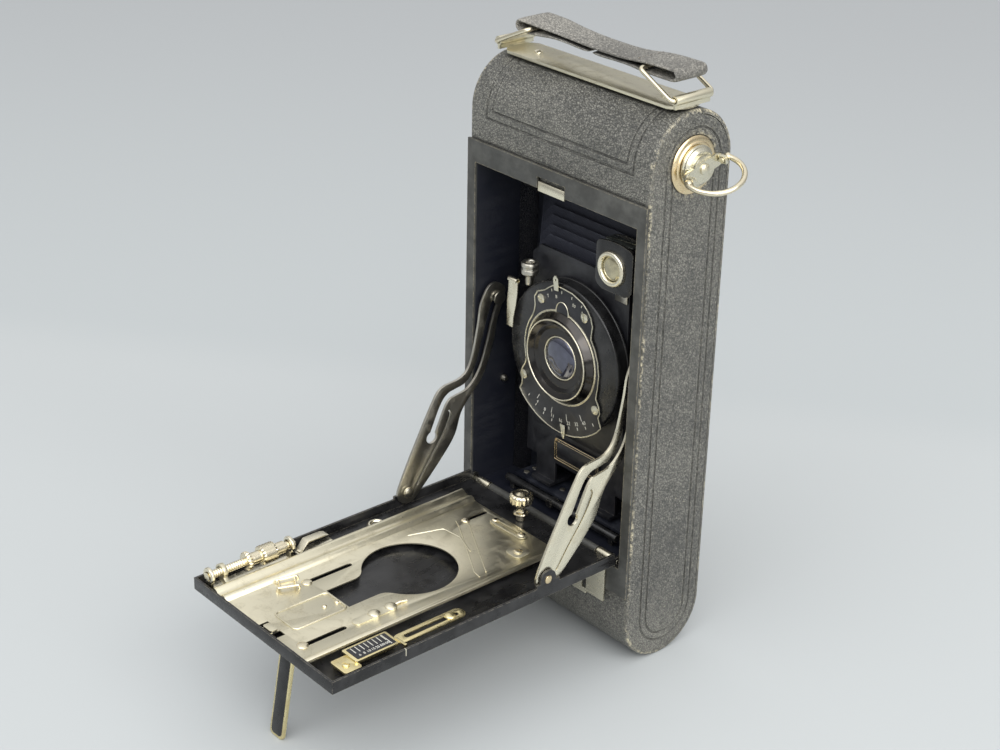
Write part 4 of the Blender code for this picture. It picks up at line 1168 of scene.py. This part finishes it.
def knurl(k, i):
    """Diamond knurling on the wheel's face rings."""
    if KNURLED[0] <= k <= KNURLED[1]:
        return 1.0 + (0.05 if (i // 2 + (k % 2)) % 2 else -0.03)
    if k in FLANGE_RINGS:
        return 1.0 + (0.05 if i % 4 < 2 else -0.03)
    return 1.0


profile = [(0, -142.9), (1.4, -142.9)]
profile += [(1.4 + (0.12 if k % 2 else -0.08), -142.4 + 0.45 * k) for k in range(32)]
profile += [(1.4, -127.6), (2.9, -127.5), (3.2, -127.1), (3.2, -125.9), (2.9, -125.6), (2.2, -125.5)]
FLANGE_RINGS = (len(profile) - 4, len(profile) - 3)
profile += [(2.2, -121.4), (3.0, -121.3)]
first = len(profile)
profile += [(3.38, -120.9 + 0.66 * k) for k in range(9)]
KNURLED = (first, first + 8)
profile += [(3.0, -115.3), (2.2, -115.2), (2.2, -111.4), (1.4, -111.3), (1.4, -107.0), (0, -107.0)]
wheel = lathe("Y", SCREW, profile, 72, knurl)
piece("knurled_screw", wheel, POLISHED, "focus_wheel", "focusing_wheel", bevel=0)


def eye_loop(y):
    ring = [(1.72, y - 0.7), (2.7, y - 0.7), (3.0, y - 0.4), (3.0, y + 0.4), (2.7, y + 0.7), (1.72, y + 0.7)]
    return lathe("Y", SCREW, ring, 40)


posts = [box((-35.6, -32.4), y, (44.2, 48.2)) for y in ((-142.5, -141.3), (-109.3, -108.1))]
cradle = carve(prism("Z", rounded((-36.8, -31.2), (-142.8, -107.4), 1.2), 44.0, 44.8), add=posts)
cradle = carve(cradle, add=[eye_loop(-141.9), eye_loop(-108.7)])
piece("screw_cradle", cradle, NICKEL, "bed", "screw_bracket", bevel=0.1)
screw("clip_screw", "Z", (-35.2, -103.4), 44.7, 0.6, 1.3, "bed", POLISHED, 40, out=1)
ring = [(1.9, 43.8), (3.5, 43.8), (3.5, 44.3), (3.0, 44.9), (2.4, 44.9), (1.9, 44.4)]
EYELET = (-33.4, -70.8)
piece("tripod_eyelet", lathe("Z", EYELET, ring, 48), NICKEL, "bed", bevel=0.06)
hole = [(0, 43.75), (1.95, 43.75), (1.95, 44.0), (0, 44.0)]
piece("eyelet_hole", lathe("Z", EYELET, hole, 32), STRAP, "bed", bevel=0)


def scale():
    """Brass scale: a foot, a slanting step up to the dial face, and a slotted arm with a round end."""
    body = prism("Z", rounded((26.0, 34.3), (-130.6, -112.6), 0.7), 45.5, 46.3)
    foot = prism("Z", rounded((28.2, 36.8), (-136.8, -129.8), 1.0), 45.0, 45.7)
    arm = prism("Z", pill((29.8, 35.2), (-113.4, -84.2)), 45.6, 46.2)
    base = box((27.5, 33), (-129.5, -114), (43.9, 45.8))
    tail = box((29.0, 32.6), (-136.0, -130.6), (43.9, 45.3))
    slot = prism("Z", pill((31.5, 33.5), (-109.5, -86.8)), 40, 50)
    return carve(carve(body, add=[foot, arm, base, tail]), cut=[slot])


piece("distance_scale", scale(), BRASS, "bed", "scale_plate", bevel=0.12)
face = prism("Z", rounded((26.8, 33.5), (-129.4, -113.6), 0.4), 46.25, 46.42)
piece("scale_face", face, SATIN, "bed", bevel=0.03)
lines = []
for k in range(8):
    y = -128.0 + 1.75 * k
    lines.append(box((27.2, 30.4), (y, y + 0.28), (46.4, 46.5)))
lines.append(box((27.2, 33.2), (-115.4, -115.1), (46.4, 46.5)))
for k, words in enumerate(("6", "8", "10", "15", "25", "50", "100")):
    mesh = lettering(words, 1.6)
    mesh.transform(Matrix.Rotation(math.radians(-90), 4, "X"))
    mesh.transform(Matrix.Rotation(math.radians(90), 4, "Z"))
    mesh.transform(Matrix.Translation((32.0 * MM, (-127.4 + 1.8 * k) * MM, 46.46 * MM)))
    lines.append(mesh)
piece("scale_marks", merged(lines), INK, "bed", bevel=0, smooth=False)
rivet("scale_rivet", 32.5, -90.2, 2.0, 46.2, 0.8, BRASS, "bed")
screw("scale_screw", "Z", (32.9, -133.8), 45.6, 0.7, 1.25, "bed", BRASS, 25, out=1)
hand = prism("Z", rounded((31.5, 36.6), (-112.9, -111.9), 0.2), 46.2, 46.6)
hand = carve(hand, add=[box((36.2, 37.0), (-112.9, -111.9), (45.0, 46.6))])
piece("scale_pointer", hand, BRASS, "bed", bevel=0.06)
piece("rim_mark", box((39.15, 40.05), (-115.0, -114.6), (44.8, 47.44)), NICKEL, "bed", bevel=0.02)

KNOB = (-3.7, -26.8)
knob = [(0, 44.0), (1.8, 44.0), (1.8, 46.2), (2.7, 46.3), (2.9, 46.7), (2.7, 47.2), (1.9, 47.5), (1.6, 48.2)]
knob += [(1.6, 50.0), (2.0, 50.5), (3.6, 50.8), (4.1, 51.2), (4.3, 52.0), (4.3, 53.6), (4.1, 54.3)]
knob += [(3.5, 54.8), (3.0, 54.9), (2.6, 54.7), (1.9, 54.9), (1.0, 55.4), (0, 55.6)]


def fluted(k, i):
    return 1.0 + 0.035 * math.cos(2 * math.pi * i / 6) if 11 <= k <= 14 else 1.0


piece("fluted_knob", lathe("Z", KNOB, knob, 96, fluted), POLISHED, "knob", "clamp_knob", bevel=0)

# ---------------------------------------------------------------- struts

PIVOT = (-52.8, 49.5)
STUD = (-10.0, 116.5)
STRUT_X = (37.9, 38.9)
STRUT_ANGLE = math.atan2(STUD[1] - PIVOT[1], STUD[0] - PIVOT[0])


def on_strut(r, w):
    """A point r along the line from pivot to stud and w towards the front edge."""
    c, s = math.cos(STRUT_ANGLE), math.sin(STRUT_ANGLE)
    return (PIVOT[0] + r * c - w * s, PIVOT[1] + r * s + w * c)


def between(p, q, r, u, t):
    """The smooth line's place a share t of the way from q to r, with p before and u after them."""
    return 0.5 * (
        2 * q + (r - p) * t + (2 * p - 5 * q + 4 * r - u) * t**2 + (3 * q - p - 3 * r + u) * t**3
    )


def flowing(points, closed=True, steps=4):
    """A smooth line through the points."""
    n = len(points)
    out = []
    for i in range(n if closed else n - 1):
        if closed:
            a, b, c, d = (points[(i + k) % n] for k in (-1, 0, 1, 2))
        else:
            a, b, c, d = (points[min(max(i + k, 0), n - 1)] for k in (-1, 0, 1, 2))
        for s in range(steps):
            out.append(tuple(between(*near, s / steps) for near in zip(a, b, c, d)))
    if not closed:
        out.append(points[-1])
    return out


FRONT_EDGE = [(-0.6, 4.6), (10, 6.0), (18.5, 6.7), (32.5, 7.7), (40.3, 7.0), (46.9, -0.2)]
FRONT_EDGE += [(54, -1.2), (66.7, 3.2), (74.3, 6.6), (80.5, 7.2), (83.6, 5.6)]
REAR_EDGE = [(84.6, 2.4), (83.6, -1.2), (80, -2.8), (72.6, -4.2), (65, -7.2), (57.8, -9.0)]
REAR_EDGE += [(49.9, -10.2), (41.6, -8.6), (34.6, -8.0), (26.2, -10.0), (17, -9.1), (2.2, -5.9)]
REAR_EDGE += [(-2.9, -4.0), (-4.6, -0.4), (-3.6, 2.8)]
SLOT = [(79.8, 2.4), (77.4, 1.0), (70, -0.8), (62.3, -3.2), (52, -5.7), (45, -4.6)]
SLOT += [(41, -0.7), (38.6, 1.6), (34.5, 2.3), (25.3, 1.1), (22.1, 0.6)]
LEAF = [(34.0, -1.4), (32.2, -3.2), (24.0, -4.0), (12.0, -3.2), (3.5, -3.0)]
for place, side, body, look in (("left", -1, "strut_l", STEEL), ("right", 1, "strut_r", NICKEL)):
    plane = sorted((side * STRUT_X[0], side * STRUT_X[1]))
    through = sorted((side * 35, side * 42))
    outline = [on_strut(*p) for p in flowing(FRONT_EDGE + REAR_EDGE)]
    cut = [
        prism("X", ribbon([on_strut(*p) for p in flowing(SLOT, False)], 1.5), *through),
        rod("X", on_strut(22.1, 0.6), 2.4, *through),
        rod("X", PIVOT, 1.5, *through),
        prism("X", ribbon([on_strut(*p) for p in flowing(LEAF, False)], 0.3), *through),
    ]
    blade = carve(prism("X", outline, *plane), cut=cut)
    piece(f"strut_blade_{place}", blade, look, body, f"strut_{place}", bevel=0.22)
    cap = [(0, side * 39.9), (1.5, side * 39.9), (1.5, side * 40.2), (1.1, side * 40.45), (0, side * 40.5)]
    piece(f"ear_rivet_{place}", lathe("X", PIVOT, cap, 28), GOLD, "bed", bevel=0)
    cap = [(0, side * 37.65), (1.9, side * 37.65), (1.9, side * 36.9), (1.5, side * 36.6), (0, side * 36.5)]
    piece(f"strut_rivet_{place}", lathe("X", PIVOT, cap, 32), look, "bed", bevel=0)

# ---------------------------------------------------------------- foot

FOOT = (-131.2, 40.9)
FOOT_TIP_Y = -138.3
FOOT_ROUND = 1.6


def foot_blade(inset, thick, low, high):
    """The leg as a flat strip, length down from its hinge and round at the tip, then leant into place."""
    drop = math.hypot(FOOT_TIP_Y - FOOT[0], FOOT[1])
    half = 3.7 - inset
    outline = [(half, -high), (-half, -high)]
    tip = -drop + low + FOOT_ROUND
    outline += arc((-half + FOOT_ROUND, tip), FOOT_ROUND, 180, 270, 5)
    outline += arc((half - FOOT_ROUND, tip), FOOT_ROUND, 270, 360, 5)
    mesh = prism("Y", [(x - 1.5, z) for x, z in outline], -thick, thick)
    mesh.transform(Matrix.Rotation(math.atan2(FOOT_TIP_Y - FOOT[0], FOOT[1]), 4, "X"))
    mesh.transform(Matrix.Translation((0, FOOT[0] * MM, FOOT[1] * MM)))
    return mesh


strip = carve(foot_blade(0, 0.6, 0.15, 0.5), add=[rod("X", FOOT, 1.5, -5.2, 2.2)])
strip = carve(strip, cut=[rod("X", FOOT, 1.1, -10, 10)])
piece("foot_strip", strip, BRASS, "leg", "foot_leg", bevel=0.15)
piece("foot_enamel", foot_blade(0.75, 0.72, 0.95, 2.6), BLACK, "leg", bevel=0.1)

# ---------------------------------------------------------------- camera, floor and light

eye = bpy.data.cameras.new("camera")
eye.lens = 68.5
eye.sensor_width = 36.0
camera = bpy.data.objects.new("camera", eye)
bpy.context.scene.collection.objects.link(camera)
HEADING, DIP, ROLL = 0.85016, -0.45381, -0.02184
CAMERA_AT = (0.44557, -0.43308, 0.39807)
turn = Matrix.Rotation(HEADING, 3, "Z") @ Matrix.Rotation(DIP, 3, "X") @ Matrix.Rotation(ROLL, 3, "Y")
right, forward, up = turn.col
axes = Matrix((right, up, -forward)).transposed().to_4x4()
camera.matrix_world = Matrix.Translation(CAMERA_AT) @ axes
bpy.context.scene.camera = camera
bpy.context.scene.view_settings.view_transform = "Standard"

FLOOR_SIZE = 6000.0
# The far part of the paper stands in shade: its edge crosses behind the camera body at this heading.
SWEEP_HEADING = math.radians(37.2)
SWEEP_AT = 150.0


def paper():
    look = Surface("studio_paper", roughness=0.75)
    heading = look.add(
        "ShaderNodeVectorMath",
        {0: look.place, 1: (-math.sin(SWEEP_HEADING), math.cos(SWEEP_HEADING), 0)},
        operation="DOT_PRODUCT",
    ).outputs["Value"]
    near, beyond, far = (0.465, 0.488, 0.495), (0.44, 0.466, 0.475), (0.42, 0.438, 0.45)
    tone = look.mix(look.span(heading, SWEEP_AT * MM, (SWEEP_AT + 55) * MM), near, beyond)
    tone = look.mix(look.span(heading, 0.2, 0.9), tone, far)
    look.feed("Base Color", tone)
    look.feed("Specular IOR Level", 0.3)
    return look.material


floor = bpy.data.objects.new("floor", prism("Z", disc((0, 0), FLOOR_SIZE, 96), -20, -0.05))
bpy.context.scene.collection.objects.link(floor)
floor.data.materials.append(paper())


def lamp(name, place, aim, size, power, colour):
    light = bpy.data.lights.new(name, "AREA")
    light.shape = "RECTANGLE"
    light.size, light.size_y = size
    light.energy = power
    light.color = colour
    obj = bpy.data.objects.new(name, light)
    bpy.context.scene.collection.objects.link(obj)
    obj.location = place
    obj.rotation_euler = (Vector(aim) - Vector(place)).to_track_quat("-Z", "Y").to_euler()


lamp("window", (1.5, -0.35, 1.0), (0, 0, 0.05), (2.0, 1.6), 27, (1.0, 0.985, 0.96))
lamp("ceiling", (0.5, -1.1, 1.7), (0, 0, 0), (2.4, 2.0), 24, (0.97, 0.985, 1.0))


def sky():
    world = bpy.data.worlds.new("studio")
    bpy.context.scene.world = world
    world.use_nodes = True
    tree = world.node_tree
    place = tree.nodes.new("ShaderNodeTexCoord").outputs["Generated"]
    split = tree.nodes.new("ShaderNodeSeparateXYZ")
    tree.links.new(place, split.inputs[0])
    ramp = tree.nodes.new("ShaderNodeValToRGB")
    tree.links.new(split.outputs["Z"], ramp.inputs[0])
    ramp.color_ramp.elements[0].position = 0.0
    ramp.color_ramp.elements[0].color = (0.42, 0.43, 0.44, 1)
    ramp.color_ramp.elements[1].position = 0.85
    ramp.color_ramp.elements[1].color = (1.5, 1.5, 1.5, 1)
    tree.links.new(ramp.outputs[0], tree.nodes["Background"].inputs[0])
    tree.nodes["Background"].inputs[1].default_value = 0.68


sky()
